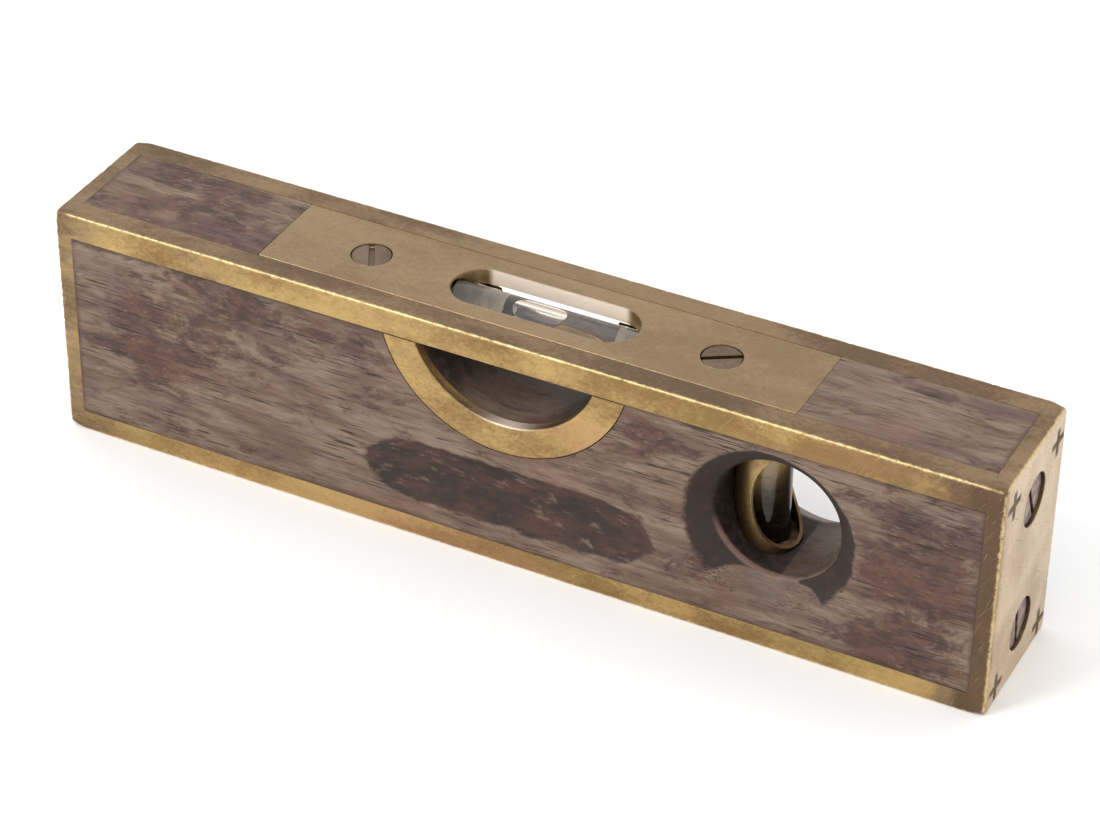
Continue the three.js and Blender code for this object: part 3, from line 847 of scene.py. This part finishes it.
def cut_rail_seats(piece, reach):
    """Cuts the four long edges away for the rails, with a keyhole slot for each tongue."""
    wide = RAIL_WIDTH + SEAT_GAP
    for name in RAILS:
        level, side = rail_place(name)
        tall = RAIL_HEIGHT["top" if level > 0 else "bottom"] + SEAT_GAP
        y_span = (FACE - wide, FACE + 1) if side > 0 else (-FACE - 1, wide - FACE)
        z_span = (HEIGHT - tall, HEIGHT + 1) if level > 0 else (-1, tall)
        carve(piece, block((-reach, y_span[0], z_span[0]), (reach, y_span[1], z_span[1])))
        inner_z = HEIGHT - tall if level > 0 else tall
        carve(piece, tongue(side, level, side * (FACE - wide), inner_z, reach))


def cut_top_beds(piece, bed):
    """Cuts the beds of the top plate and of the level vial's tube."""
    plate_low, plate_high = box_mm("top_plate")
    bed_low = (plate_low[0] - SEAT_GAP, plate_low[1] - 2 * FIT_GAP, bed)
    bed_high = (plate_high[0] + SEAT_GAP, plate_high[1] + 2 * FIT_GAP, HEIGHT + 1)
    carve(piece, block(bed_low, bed_high))
    case_low, case_high = box_mm("level_case")
    span = (case_low[0] - FIT_GAP, case_high[0] + FIT_GAP)
    tube = CASE_OUTER + FIT_GAP
    carve(piece, rod("bed", tube, span, level_place()))
    carve(piece, block((span[0], -tube, LEVEL_Z), (span[1], tube, bed + 1)))


def cut_sights(piece):
    """Cuts the side sights, the seats of their rims, the plumb hole and the finger grooves."""
    right_through = (-FACE - 1, FACE + 1)
    carve(piece, through_cutter(SIGHT_CENTRE, SIGHT_INNER, right_through))
    rim_low, rim_high = box_mm("sight_rim_front")
    rim_depth = rim_high[1] - rim_low[1] + FIT_GAP
    for span in ((-FACE - 1, rim_depth - FACE), (FACE - rim_depth, FACE + 1)):
        carve(piece, through_cutter(SIGHT_CENTRE, SIGHT_OUTER + FIT_GAP, span))
    carve(piece, through_cutter(PLUMB_CENTRE, PLUMB_BORE, right_through))
    for side in (-1, 1):
        carve(piece, groove_cutter(side))
        carve(piece, flare_cutter(side))


def mark_wood(piece):
    """Stores where the wood is stained, sooty, worn or patchy, and where it gets painted shade in the
    bores, a painted highlight on the plumb hole's lip and a painted lit patch, for its material.
    """
    points = points_of(piece)
    x, y, z = points.T
    groove, flare = stain_distance(points)
    across = from_centre(points, PLUMB_CENTRE)
    clean = fade(z, 13, 9.5) * fade(across, PLUMB_BORE - 0.2, PLUMB_BORE + 0.6)
    clean *= fade(x, 53, 49) * fade(x, 34, 38)
    in_bore = fade(across, PLUMB_BORE + 0.4, PLUMB_BORE)
    lit = in_bore * fade(x, 43, 47) * fade(z, 26, 22)
    # painted shade inside the plumb bore, the flare's mouth and the sight
    bore_shade = in_bore * (1 - 0.4 * fade(x - 0.5 * z, 35, 41))
    bore_shade = np.maximum(bore_shade, 0.4 * clean * fade(flare, 0.4, -1.5) * fade(x, 48, 43))
    in_sight = fade(from_centre(points, SIGHT_CENTRE), SIGHT_INNER + 0.4, SIGHT_INNER + 0.05)
    shaded = (0.25 + 0.75 * fade(z, 26, 29.5)) * in_sight
    flare_floor = FACE - np.where(y < 0, FLARE_DEPTH[-1], FLARE_DEPTH[1])
    # painted highlight: a paler ring on the plumb hole's lower left lip
    lip = fade(np.hypot(across - PLUMB_BORE, np.abs(y) - flare_floor), 0.75, 0.35)
    lower_left = fade(x + 0.6 * z, 56, 50)
    # the stain is kept off a painted lit patch low on the right of the plumb bore
    attribute(piece, "stain", np.minimum(groove, flare + 7 * clean + 12 * lit))
    attribute(piece, "bore_shade", np.maximum(bore_shade, shaded * (np.abs(y) < FACE - 1)))
    attribute(piece, "patchy", patchiness(points))
    attribute(piece, "seam", seam_distance(points))
    attribute(piece, "soot", fade(x, 25, 28) * (1 - clean))
    attribute(piece, "lip", lip * lower_left * fade(z, 20, 15))
    attribute(piece, "scuffed", np.exp(-((x - 1) / 11) ** 2 - ((z - 12.6) / 2.4) ** 2))


def stock(seed):
    """The rosewood stock with everything that is cut into it."""
    reach = INNER_END - SEAT_GAP
    plate_low, _ = box_mm("top_plate")
    plumb_low, _ = box_mm("plumb_case")
    bed = plate_low[2] - FIT_GAP
    piece = wooden_block(seed, reach)
    cut_rail_seats(piece, reach + 1)
    cut_top_beds(piece, bed)
    cut_sights(piece)
    well = (plumb_low[2] - FIT_GAP, bed + 1)
    carve(piece, rod("well", CASE_OUTER + FIT_GAP, well, plumb_place()))
    for name in PLATE_SCREW_PLACES:
        carve(piece, screw_hole(name, PLATE_SCREW))
    for name in END_SCREW_PLACES:
        carve(piece, screw_hole(name, END_SCREW))
    mark_wood(piece)
    return piece


# ---------------------------------------------------------------- materials


def tint(red, green, blue):
    """A colour given as it looks on a screen, from 0 to 255, as the shader wants it."""
    def linear(value):
        value /= 255
        return value / 12.92 if value <= 0.04045 else ((value + 0.055) / 1.055) ** 2.4
    return (linear(red), linear(green), linear(blue), 1)


class Surface:
    """One material's nodes. Each method adds nodes and returns the socket to pass on."""

    def __init__(self, name):
        self.material = bpy.data.materials.new(name)
        self.material.use_nodes = True
        self.tree = self.material.node_tree
        self.shader = self.tree.nodes["Principled BSDF"]
        here = self.node("ShaderNodeTexCoord").outputs["Object"]
        self.mm = self.placed(here, scale=(1 / MM,) * 3)

    def node(self, kind, inputs=(), **settings):
        """A new node with its settings, and its inputs linked or set."""
        made = self.tree.nodes.new(kind)
        for key, value in settings.items():
            setattr(made, key, value)
        for key, value in dict(inputs).items():
            self.feed(made.inputs[key], value)
        return made

    def feed(self, socket, value):
        """Links a socket to another, or sets its value."""
        if isinstance(value, bpy.types.NodeSocket):
            self.tree.links.new(value, socket)
        else:
            socket.default_value = value

    def placed(self, vector, turn=(0, 0, 0), scale=(1, 1, 1), shift=(0, 0, 0)):
        """A vector scaled, then turned by degrees, then shifted."""
        turn = [math.radians(t) for t in turn]
        inputs = {"Vector": vector, "Location": shift, "Rotation": turn, "Scale": scale}
        return self.node("ShaderNodeMapping", inputs).outputs["Vector"]

    def noise(self, size, detail=3, rough=0.55, stretch=(1, 1, 1), turn=(0, 0, 0), warp=0, seed=0):
        """Noise whose features are about size millimetres, times the stretch on each turned axis."""
        scale = [1 / (size * s) for s in stretch]
        shift = (seed * 3.7, seed * 1.3, seed * 2.1)
        moved = self.placed(self.placed(self.mm, turn), scale=scale, shift=shift)
        inputs = {"Vector": moved, "Scale": 1, "Detail": detail, "Roughness": rough, "Distortion": warp}
        return self.node("ShaderNodeTexNoise", inputs).outputs["Fac"]

    def levels(self, value, low, high, out_low=0, out_high=1):
        """A smooth step from one output to the other between two values."""
        inputs = {"Value": value, "From Min": low, "From Max": high, "To Min": out_low, "To Max": out_high}
        return self.node("ShaderNodeMapRange", inputs, interpolation_type="SMOOTHSTEP").outputs["Result"]

    def math(self, operation, a, b=0.0):
        return self.node("ShaderNodeMath", {0: a, 1: b}, operation=operation).outputs[0]

    def add(self, a, b):
        return self.math("ADD", a, b)

    def times(self, a, b):
        return self.math("MULTIPLY", a, b)

    def mix(self, share, a, b):
        """A colour between two, by the share of the second."""
        return self.node("ShaderNodeMix", {0: share, 6: a, 7: b}, data_type="RGBA").outputs[2]

    def stored(self, name):
        """An attribute that was stored on the mesh."""
        return self.node("ShaderNodeAttribute", attribute_name=name).outputs["Fac"]

    def bump_normal(self, height, strength, depth_mm):
        """A normal tilted by the height's slopes."""
        inputs = {"Height": height, "Strength": strength, "Distance": depth_mm * MM}
        return self.node("ShaderNodeBump", inputs).outputs["Normal"]

    def bump(self, height, strength, depth_mm):
        """Gives the shader a bumpy normal."""
        self.feed(self.shader.inputs["Normal"], self.bump_normal(height, strength, depth_mm))

    def set(self, **values):
        """Links or sets the shader's own inputs, and returns the material."""
        for key, value in values.items():
            self.feed(self.shader.inputs[key.replace("_", " ")], value)
        return self.material


def scratches(surface, seed):
    """Fine straight scratches in several directions, as lines that are 1 in the scratch."""
    total = None
    for turn, size, length in (
        ((62, 20 + seed, 10), 0.09, 40),
        ((-48, 35, 40 + seed), 0.08, 60),
        ((80 + seed, -15, -30), 0.09, 40),
        ((35, 60, 75 - seed), 0.08, 70),
    ):
        lines = surface.noise(size, 1, 0.4, (length, length, 1), turn, seed=seed)
        thin = surface.levels(lines, 0.69, 0.8)
        total = thin if total is None else surface.math("MAXIMUM", total, thin)
    return total


def brass(name, bright, deep, dull_tints, seed):
    """Old brass: golden where rubbed, greenish and pinkish in places, dull on top from tarnish and painted
    shade, scratched and pitted.
    """
    s = Surface(name)
    cloud = s.noise(12, 5, 0.6, (2.2, 1, 1), seed=seed)
    fine = s.noise(0.45, 5, 0.7, (1.7, 1.3, 1), seed=1)
    tarnish = s.levels(s.add(s.times(cloud, 0.74), s.times(fine, 0.26)), 0.4, 0.6)
    colour = s.mix(tarnish, bright, deep)
    olive = s.levels(s.noise(6, 5, 0.66, (3, 1, 1), seed=seed + 20), 0.46, 0.7)
    colour = s.mix(s.times(olive, 0.35), colour, tint(156, 140, 84))
    blush = s.levels(s.noise(14, 5, 0.62, (3, 1, 1), seed=seed + 40), 0.5, 0.68)
    colour = s.mix(s.times(blush, 0.42), colour, tint(180, 134, 104))
    dark_lines = scratches(s, seed)
    light_lines = scratches(s, seed + 13)
    ragged = s.add(s.noise(2.2, 5, 0.65, (1.8, 1, 1)), -0.5)
    if dull_tints:
        # dull tints where tarnished, and on the top faces as painted shade
        dullness = s.levels(s.add(s.stored("dull"), s.times(ragged, 0.8)), 0.1, 0.75)
        colour = s.mix(s.times(dullness, 0.9), colour, s.mix(tarnish, *dull_tints))
        darkened = s.levels(s.add(s.stored("dull"), s.times(ragged, 0.5)), 1.0, 1.5)
        colour = s.mix(s.times(darkened, 0.8), colour, tint(98, 78, 62))
        clean = s.mix(tarnish, tint(208, 185, 154), tint(184, 161, 134))
        clean = s.mix(s.times(blush, 0.5), clean, tint(186, 156, 138))
        colour = s.mix(s.stored("pale"), colour, clean)
    colour = s.mix(s.times(light_lines, 0.25), colour, tint(226, 206, 156))
    colour = s.mix(s.times(dark_lines, 0.4), colour, tint(88, 70, 46))
    pits = s.levels(s.noise(0.34, 3, 0.6, (1.6, 1, 1)), 0.66, 0.74)
    grouped = s.levels(s.noise(6, 3, 0.6, (2, 1, 1), seed=11), 0.44, 0.62)
    pits = s.times(pits, s.add(0.25, s.times(grouped, 0.75)))
    colour = s.mix(s.times(pits, 0.7), colour, tint(66, 48, 34))
    metal = 1.0
    if dull_tints:
        # the pale patches are painted highlights: less metallic and near white
        metal = s.add(1.0, s.times(s.stored("pale_patch"), -0.8))
        near = s.add(s.stored("edge"), s.times(s.add(s.noise(0.9, 4, 0.65), -0.5), 0.9))
        rubbed = s.levels(near, 0.1, 0.5, 1, 0)
        colour = s.mix(s.times(rubbed, 0.6), colour, tint(230, 206, 150))
        colour = s.mix(s.times(s.stored("pale_patch"), 0.95), colour, tint(244, 226, 208))
        colour = s.mix(s.times(s.stored("grime"), 0.85), colour, tint(50, 37, 28))
    else:
        # painted shade: the plumb tube darker towards the bottom, the level tube under the plate dark brown
        # all over
        brown_and_shade = s.add(s.stored("brown_and_shade"), s.times(ragged, 0.5))
        colour = s.mix(s.levels(brown_and_shade, 0.2, 0.9, 0, 0.75), colour, tint(104, 78, 54))
        colour = s.mix(s.levels(brown_and_shade, 1.4, 1.9), colour, tint(50, 42, 38))
        # painted highlight along the cut edge of the plumb tube
        colour = s.mix(s.times(s.stored("rim"), 0.8), colour, tint(222, 198, 150))
    rough = s.add(0.33, s.times(s.add(tarnish, s.levels(fine, 0.3, 0.7)), 0.08))
    height = s.add(s.times(fine, 0.45), s.times(dark_lines, -0.5))
    s.bump(s.add(height, s.times(pits, -0.9)), 0.6, 0.05)
    return s.set(Base_Color=colour, Metallic=metal, Roughness=rough)


def rosewood():
    """Old rosewood: grey-brown and streaked along X, with ragged dark patches and open pores."""
    s = Surface("rosewood")
    broad = s.noise(4.5, 5, 0.62, (5, 1, 1), warp=0.5)
    streak = s.noise(1.0, 4, 0.62, (9, 1, 1), warp=0.3)
    fibre = s.noise(0.4, 4, 0.6, (20, 1, 1))
    mottle = s.noise(1.3, 5, 0.7, (2, 1, 1), warp=0.4)
    colour = s.mix(s.levels(broad, 0.36, 0.58), tint(100, 78, 66), tint(131, 112, 94))
    colour = s.mix(s.times(s.levels(streak, 0.48, 0.66), 0.45), colour, tint(84, 58, 47))
    colour = s.mix(s.times(s.levels(fibre, 0.42, 0.7), 0.3), colour, tint(72, 50, 40))
    finish = s.add(s.noise(4.2, 7, 0.74, (2.2, 1, 1), warp=0.5), s.times(s.stored("patchy"), 0.2))
    film = s.mix(s.levels(mottle, 0.4, 0.62), tint(54, 33, 31), tint(90, 61, 50))
    colour = s.mix(s.times(s.levels(finish, 0.45, 0.61), 0.87), colour, film)
    russet = s.levels(s.noise(9, 5, 0.6, (1.8, 1, 1), seed=20), 0.46, 0.64)
    colour = s.mix(s.times(russet, 0.3), colour, tint(104, 66, 48))
    violet = s.levels(s.noise(8, 4, 0.6, (1.8, 1, 1), seed=75), 0.5, 0.66)
    colour = s.mix(s.times(violet, 0.3), colour, tint(76, 54, 62))
    pale_flecks = s.levels(s.noise(0.7, 5, 0.7, (2.6, 1, 1)), 0.58, 0.72)
    colour = s.mix(s.times(pale_flecks, 0.45), colour, tint(148, 128, 108))
    cluster = s.levels(s.noise(7, 3, 0.55, (1.6, 1, 1), seed=33), 0.42, 0.6)
    dashes = s.levels(s.noise(0.22, 1, 0.4, (24, 1, 1), warp=0.05), 0.6, 0.68)
    pores = s.times(dashes, s.add(0.25, s.times(cluster, 0.75)))
    pores = s.times(pores, s.levels(s.stored("bore_shade"), 0.05, 0.3, 1, 0))
    colour = s.mix(s.times(pores, 0.88), colour, tint(30, 17, 14))
    seam = s.add(s.stored("seam"), s.times(s.add(s.noise(1.5, 4, 0.6, (2, 1, 1)), -0.5), 1.6))
    colour = s.mix(s.levels(seam, -0.1, 0.9, 0.6, 0), colour, tint(58, 40, 32))
    outline = s.add(s.stored("stain"), s.times(s.add(s.noise(2.2, 5, 0.62, (1.8, 1, 1)), -0.5), 2.2))
    stained = s.levels(outline, -0.6, 0.1, 1, 0)
    reddish = s.levels(s.noise(3.6, 6, 0.7, (2.6, 1, 1), seed=7), 0.42, 0.62)
    reddish = s.times(reddish, s.add(1.0, s.times(s.stored("soot"), -0.85)))
    soot = s.mix(reddish, tint(42, 34, 31), tint(72, 46, 40))
    pale_patch = s.noise(1.5, 4, 0.6, (2.2, 1, 1))
    pale_patch = s.levels(s.add(pale_patch, s.times(s.stored("scuffed"), 0.12)), 0.56, 0.74)
    pale_patch = s.times(pale_patch, s.add(0.75, s.times(s.stored("soot"), -0.6)))
    soot = s.mix(pale_patch, soot, tint(122, 98, 84))
    colour = s.mix(s.times(stained, 0.94), colour, soot)
    # painted shade in the bores and the sight, drawn as a near black colour
    bore_shade_colour = s.mix(s.levels(mottle, 0.46, 0.62), tint(26, 20, 19), tint(60, 46, 43))
    colour = s.mix(s.times(s.stored("bore_shade"), 0.85), colour, bore_shade_colour)
    # painted highlight on the plumb hole's lower left lip
    colour = s.mix(s.times(s.stored("lip"), 0.55), colour, tint(146, 116, 102))
    rough = s.add(s.levels(broad, 0.3, 0.7, 0.46, 0.6), s.times(stained, 0.14))
    height = s.add(s.times(fibre, 0.35), s.times(pores, -1.0))
    s.bump(height, 0.5, 0.12)
    s.shader.inputs["Specular IOR Level"].default_value = 0.35
    return s.set(Base_Color=colour, Roughness=rough)


def screw_metal():
    """Dark brown screw heads, dull and unevenly worn."""
    s = Surface("screw_metal")
    cloud = s.noise(1.6, 5, 0.65)
    fine = s.noise(0.3, 3, 0.6)
    colour = s.mix(s.levels(cloud, 0.38, 0.62), tint(122, 104, 98), tint(168, 148, 136))
    colour = s.mix(s.times(s.stored("grime"), 0.8), colour, tint(38, 30, 28))
    s.bump(s.add(s.times(cloud, 0.5), s.times(fine, 0.5)), 0.5, 0.06)
    rough = s.levels(fine, 0.3, 0.7, 0.38, 0.6)
    return s.set(Base_Color=colour, Metallic=0.9, Roughness=rough)


def clear(name, ior, colour, waviness):
    """A clear solid or liquid, smooth but for a slow waviness."""
    s = Surface(name)
    s.bump(s.noise(2.5, 1, 0.4), waviness, 0.05)
    return s.set(Transmission_Weight=1.0, IOR=ior, Roughness=0.0, Base_Color=colour)


def inner_clear(name, ior, colour, waviness):
    """The surface between two clear things, with its index of refraction relative to the outer."""
    s = Surface(name)
    s.tree.nodes.remove(s.shader)
    normal = s.bump_normal(s.noise(2.5, 1, 0.4), waviness, 0.05)
    glass = s.node("ShaderNodeBsdfGlass", {"Color": colour, "Roughness": 0.0, "IOR": ior, "Normal": normal})
    s.feed(s.tree.nodes["Material Output"].inputs["Surface"], glass.outputs["BSDF"])
    return s.material


def plaster():
    """Plaster: cream near the window, dark brown in the plumb case."""
    s = Surface("plaster")
    cloud = s.noise(1.5, 5, 0.6)
    fine = s.noise(0.25, 3, 0.6)
    colour = s.mix(s.levels(cloud, 0.35, 0.65), tint(226, 214, 196), tint(248, 240, 226))
    # dark brown for the plaster in the plumb case
    brown_and_shade = s.mix(s.levels(cloud, 0.35, 0.65), tint(58, 40, 30), tint(98, 70, 50))
    colour = s.mix(s.stored("brown_and_shade"), colour, brown_and_shade)
    s.bump(s.add(s.times(cloud, 0.6), s.times(fine, 0.4)), 0.7, 0.15)
    return s.set(Base_Color=colour, Roughness=s.levels(fine, 0.3, 0.7, 0.75, 0.95))


# ---------------------------------------------------------------- vials


def rounded_rod(name, radius, span, soft, place, sides=128):
    """A rod with rounded ends."""
    low, high = span
    profile = [(0, low), *arc((radius - soft, low + soft), soft, -90, 0, 10)]
    profile += [*arc((radius - soft, high - soft), soft, 0, 90, 10), (0, high)]
    return turned(name, profile, sides, place)


def level_case():
    """The level vial's brass tube, open along its top and cut low under the middle of the vial."""
    low, high = box_mm("level_case")
    span = (low[0], high[0])
    piece = rod("level_case_worn", CASE_OUTER, span, level_place(), 160)
    carve(piece, rod("inside", CASE_INNER, (span[0] - 1, span[1] + 1), level_place(), 160))
    carve(piece, block((span[0] - 1, -FACE, high[2]), (span[1] + 1, FACE, HEIGHT + 1)))
    carve(piece, block((LEVEL_VIEW[0], -FACE, LEVEL_SILL), (LEVEL_VIEW[1], FACE, HEIGHT + 1)))
    count = len(piece.data.vertices)
    # painted shade: the tube under the plate is drawn dark brown all over
    attribute(piece, "brown_and_shade", np.full(count, 2.0))
    attribute(piece, "rim", np.zeros(count))
    return piece


def plumb_case():
    """The plumb vial's brass tube, with a round sweep cut out of the side by the hole."""
    low, high = box_mm("plumb_case")
    piece = rod("plumb_case_worn", CASE_OUTER, (low[2], high[2]), plumb_place(), 160, 90)
    carve(piece, rod("inside", CASE_INNER, (low[2] - 1, high[2] + 1), plumb_place(), 160, 90))
    x, z, radius, turn = PLUMB_VIEW
    place = Matrix.Translation((x, 0, z)) @ Matrix.Rotation(math.radians(-turn), 4, "Z") @ ALONG_Y
    carve(piece, rod("sweep", radius, (-FACE - 1, FACE + 1), place, 200))
    points = points_of(piece)
    local = seen_from(place, points)
    on_cut = np.abs(np.hypot(local[:, 0], local[:, 1]) - radius) < 0.05
    # where the cut edge gets its painted highlight, on the left side only
    attribute(piece, "rim", on_cut * fade(points[:, 0], PLUMB_X + 1.5, PLUMB_X - 2))
    # painted shade, darker towards the bottom of the hole
    attribute(piece, "brown_and_shade", 0.2 + 0.7 * fade(points[:, 2], 22, 12))
    return piece


def level_bubble():
    """The bubble of the level vial: a long drop of air flattened against the top of the bore."""
    low, high = box_mm("level_bubble")
    centre = (low[0] + high[0]) / 2
    half = (high[0] - low[0]) / 2
    top = LEVEL_BORE - FIT_GAP
    spread = math.asin(BUBBLE_HALF_WIDTH / top)
    around = 32
    points = [(centre - half, 0, LEVEL_Z + top)]
    sections = 56
    for k in range(1, sections):
        u = -math.cos(math.pi * k / sections)
        size = (1 - abs(u) ** 2.6) ** (1 / 2.2)
        wide = spread * size
        for j in range(around):
            angle = wide * (-1 + 2 * j / around)
            points.append((centre + half * u, top * math.sin(angle), LEVEL_Z + top * math.cos(angle)))
        rim_y = top * math.sin(wide)
        rim_z = LEVEL_Z + top * math.cos(wide)
        for j in range(around):
            share = 1 - 2 * j / around
            sag = BUBBLE_SAG * size * math.sqrt(max(1 - share ** 2, 0))
            points.append((centre + half * u, rim_y * share, rim_z - sag))
    points.append((centre + half, 0, LEVEL_Z + top))
    ring = 2 * around
    faces = []
    for j in range(ring):
        after = (j + 1) % ring
        faces.append((0, 1 + j, 1 + after))
        last = 1 + (sections - 2) * ring
        faces.append((last + after, last + j, len(points) - 1))
        for k in range(sections - 2):
            first = 1 + k * ring
            faces.append((first + j, first + ring + j, first + ring + after, first + after))
    return mesh_object("level_bubble_air", points, faces)


def plumb_bubble():
    """The bubble of the plumb vial: a round-ended rod of air."""
    low, high = box_mm("plumb_bubble")
    radius = (high[1] - low[1]) / 2
    place = plumb_place((low[0] + high[0]) / 2 - PLUMB_X)
    return rounded_rod("plumb_bubble_air", radius, (low[2], high[2]), radius, place)


def plaster_blank(name, axis, ends, room_radius, room_start, place):
    """A rod of plaster with room for the vial, cut off level under the plate, in even small faces."""
    deep, inner = ends
    past_end = inner + math.copysign(1, inner - deep)
    piece = rod(name + "_lumpy", CASE_INNER - FIT_GAP, sorted(ends), place, 96)
    carve(piece, rod("room", room_radius, sorted((room_start, past_end)), place, 96))
    if axis == 0:
        _, node_high = box_mm(name)
        carve(piece, block((-LENGTH, -FACE, node_high[2]), (LENGTH, FACE, HEIGHT + 9)))
    remesh = piece.modifiers.new("even", "REMESH")
    remesh.mode = "VOXEL"
    remesh.voxel_size = 0.22 * MM
    apply_modifiers(piece)
    return piece


def plaster_filling(name, axis, ends, room_radius, room_start, place, seed):
    """Lumpy plaster round a vial's end, with its inner end left ragged."""
    deep, inner = ends
    into = math.copysign(1, inner - deep)
    piece = plaster_blank(name, axis, ends, room_radius, room_start, place)
    points = points_of(piece)
    lumps = 0.12 * ripple(points, 1.1, seed) + 0.05 * ripple(points, 0.4, seed)
    points += normals_of(piece) * lumps[:, None]
    near_end = fade(into * (points[:, axis] - inner), -1.5, 0)
    points[:, axis] -= into * near_end * 0.8 * (1 + ripple(points, 1.6, seed + 3))
    centre = np.array([0, 0, LEVEL_Z] if axis == 0 else [PLUMB_X, 0, 0])
    away = points - centre
    away[:, axis] = 0
    radius = np.linalg.norm(away, axis=1, keepdims=True)
    past_vial = into * (points[:, axis] - room_start) > 0
    least = np.where(past_vial, room_radius - 0.05, 0.0)[:, None]
    kept = np.clip(radius, least, CASE_INNER - FIT_GAP + 0.05)
    points += away * (kept / np.maximum(radius, 1e-6) - 1)
    if axis == 0:
        _, node_high = box_mm(name)
        points[:, 2] = np.minimum(points[:, 2], node_high[2] + 0.1)
    move_points(piece, points)
    attribute(piece, "brown_and_shade", np.full(len(points), float(axis == 2)))
    return piece


# ---------------------------------------------------------------- stage


def camera():
    """A long lens, looking down at the front and the plumb end."""
    aim = Vector((1.1, 0.8, 20.65)) * MM
    distance = 0.5495
    azimuth = math.radians(26.56)
    elevation = math.radians(35.25)
    roll = math.radians(0.80)
    forward = Vector((
        -math.sin(azimuth) * math.cos(elevation),
        math.cos(azimuth) * math.cos(elevation),
        -math.sin(elevation),
    ))
    level_right = Vector((math.cos(azimuth), math.sin(azimuth), 0))
    level_up = level_right.cross(forward)
    right = level_right * math.cos(roll) + level_up * math.sin(roll)
    up = level_up * math.cos(roll) - level_right * math.sin(roll)
    data = bpy.data.cameras.new("camera")
    data.sensor_width = 36
    data.lens = 117.49
    data.clip_start = 0.01
    eye = bpy.data.objects.new("camera", data)
    turn = Matrix((right, up, -forward)).transposed().to_4x4()
    eye.matrix_world = Matrix.Translation(aim - forward * distance) @ turn
    bpy.context.scene.collection.objects.link(eye)
    bpy.context.scene.camera = eye


def floor():
    """A plain pale floor."""
    half = 4000
    points = [(-half, -half, 0), (half, -half, 0), (half, half, 0), (-half, half, 0)]
    ground = mesh_object("floor", points, [(0, 1, 2, 3)])
    s = Surface("floor_paper")
    fine = s.noise(40, 2)
    colour = s.mix(fine, (0.94, 0.94, 0.94, 1), (0.97, 0.97, 0.97, 1))
    ground.data.materials.append(s.set(Base_Color=colour, Roughness=0.9))


def softbox(name, place, size, power, target=(0, 0, 0.02)):
    """A square area light that faces a point."""
    data = bpy.data.lights.new(name, "AREA")
    data.shape = "SQUARE"
    data.size = size
    data.energy = power
    lamp = bpy.data.objects.new(name, data)
    lamp.location = place
    lamp.rotation_euler = (Vector(place) - Vector(target)).to_track_quat("Z", "Y").to_euler()
    bpy.context.scene.collection.objects.link(lamp)


def light():
    """An even bright surround, and a small soft light from above the front left."""
    world = bpy.data.worlds.new("surround")
    world.use_nodes = True
    world.node_tree.nodes["Background"].inputs["Color"].default_value = (1, 1, 1, 1)
    world.node_tree.nodes["Background"].inputs["Strength"].default_value = 1.15
    bpy.context.scene.world = world
    softbox("key", (-0.4, -0.63, 0.8), 0.26, 3.6)
    bpy.context.scene.view_settings.view_transform = "Standard"


# ---------------------------------------------------------------- assembly

camera()
floor()
light()

# dull tints for tarnished brass, which also paint shade on its top faces
binding_dull = (tint(139, 116, 90), tint(106, 85, 68))
plate_dull = (tint(154, 130, 100), tint(141, 118, 90))
head_dull = (tint(124, 107, 88), tint(106, 90, 76))
binding_brass = brass("binding_brass", tint(192, 162, 106), tint(142, 114, 74), binding_dull, 3)
plate_brass = brass("plate_brass", tint(164, 139, 102), tint(146, 123, 90), plate_dull, 11)
head_brass = brass("head_brass", tint(128, 110, 86), tint(108, 92, 76), head_dull, 17)
case_brass = brass("case_brass", tint(176, 148, 98), tint(112, 88, 62), None, 23)
wood = rosewood()
browned_steel = screw_metal()
vial_glass = clear("vial_glass", GLASS_IOR, tint(253, 252, 250), 0.1)
spirit = inner_clear("spirit", SPIRIT_IOR / GLASS_IOR, tint(254, 253, 251), 0.0)
air = inner_clear("air", 1 / SPIRIT_IOR, (1, 1, 1, 1), 0.0)
chalk = plaster()

finish_piece(stock(5), "stock", wood)
for number, name in enumerate(RAILS):
    finish_piece(rail(name, 10 * number + 7), name, binding_brass)
for (name, side), seed in zip(END_PLATES.items(), (51, 64)):
    finish_piece(end_plate(name, side, seed), name, binding_brass)
for name in END_SCREW_PLACES:
    finish_piece(screw(name, END_SCREW), name, browned_steel)
finish_piece(top_plate(71), "top_plate", plate_brass)
for name in PLATE_SCREW_PLACES:
    finish_piece(screw(name, PLATE_SCREW), name, head_brass)
for name, side in SIGHT_RIMS.items():
    finish_piece(sight_rim(name, side), name, binding_brass)

finish_piece(level_case(), "level_case", case_brass)
finish_piece(plumb_case(), "plumb_case", case_brass)
for kind, axis, radius, bore, top_room, place in (
    ("level", 0, LEVEL_VIAL_RADIUS, LEVEL_BORE, VIAL_BASE, level_place()),
    ("plumb", 2, PLUMB_VIAL_RADIUS, PLUMB_BORE_IN_GLASS, FIT_GAP, plumb_place()),
):
    low, high = box_mm(kind + "_vial")
    tube = rounded_rod(kind + "_vial_glass", radius, (low[axis], high[axis]), 0.8, place)
    finish_piece(tube, kind + "_vial", vial_glass, angle=60)
    ends = (low[axis] + VIAL_BASE, high[axis] - top_room)
    liquid = rounded_rod(kind + "_vial_liquid", bore - 0.02, ends, 0.5, place)
    finish_piece(liquid, kind + "_spirit", spirit, angle=60)
finish_piece(level_bubble(), "level_bubble", air, "level_bubble_body", 60)
finish_piece(plumb_bubble(), "plumb_bubble", air, "plumb_bubble_body", 60)

for name, (axis, ends, room_start) in PLASTER.items():
    place = level_place() if axis == 0 else plumb_place()
    room = (LEVEL_VIAL_RADIUS if axis == 0 else PLUMB_VIAL_RADIUS) + FIT_GAP
    filling = plaster_filling(name, axis, ends, room, room_start, place, 80 + len(name))
    finish_piece(filling, name, chalk)
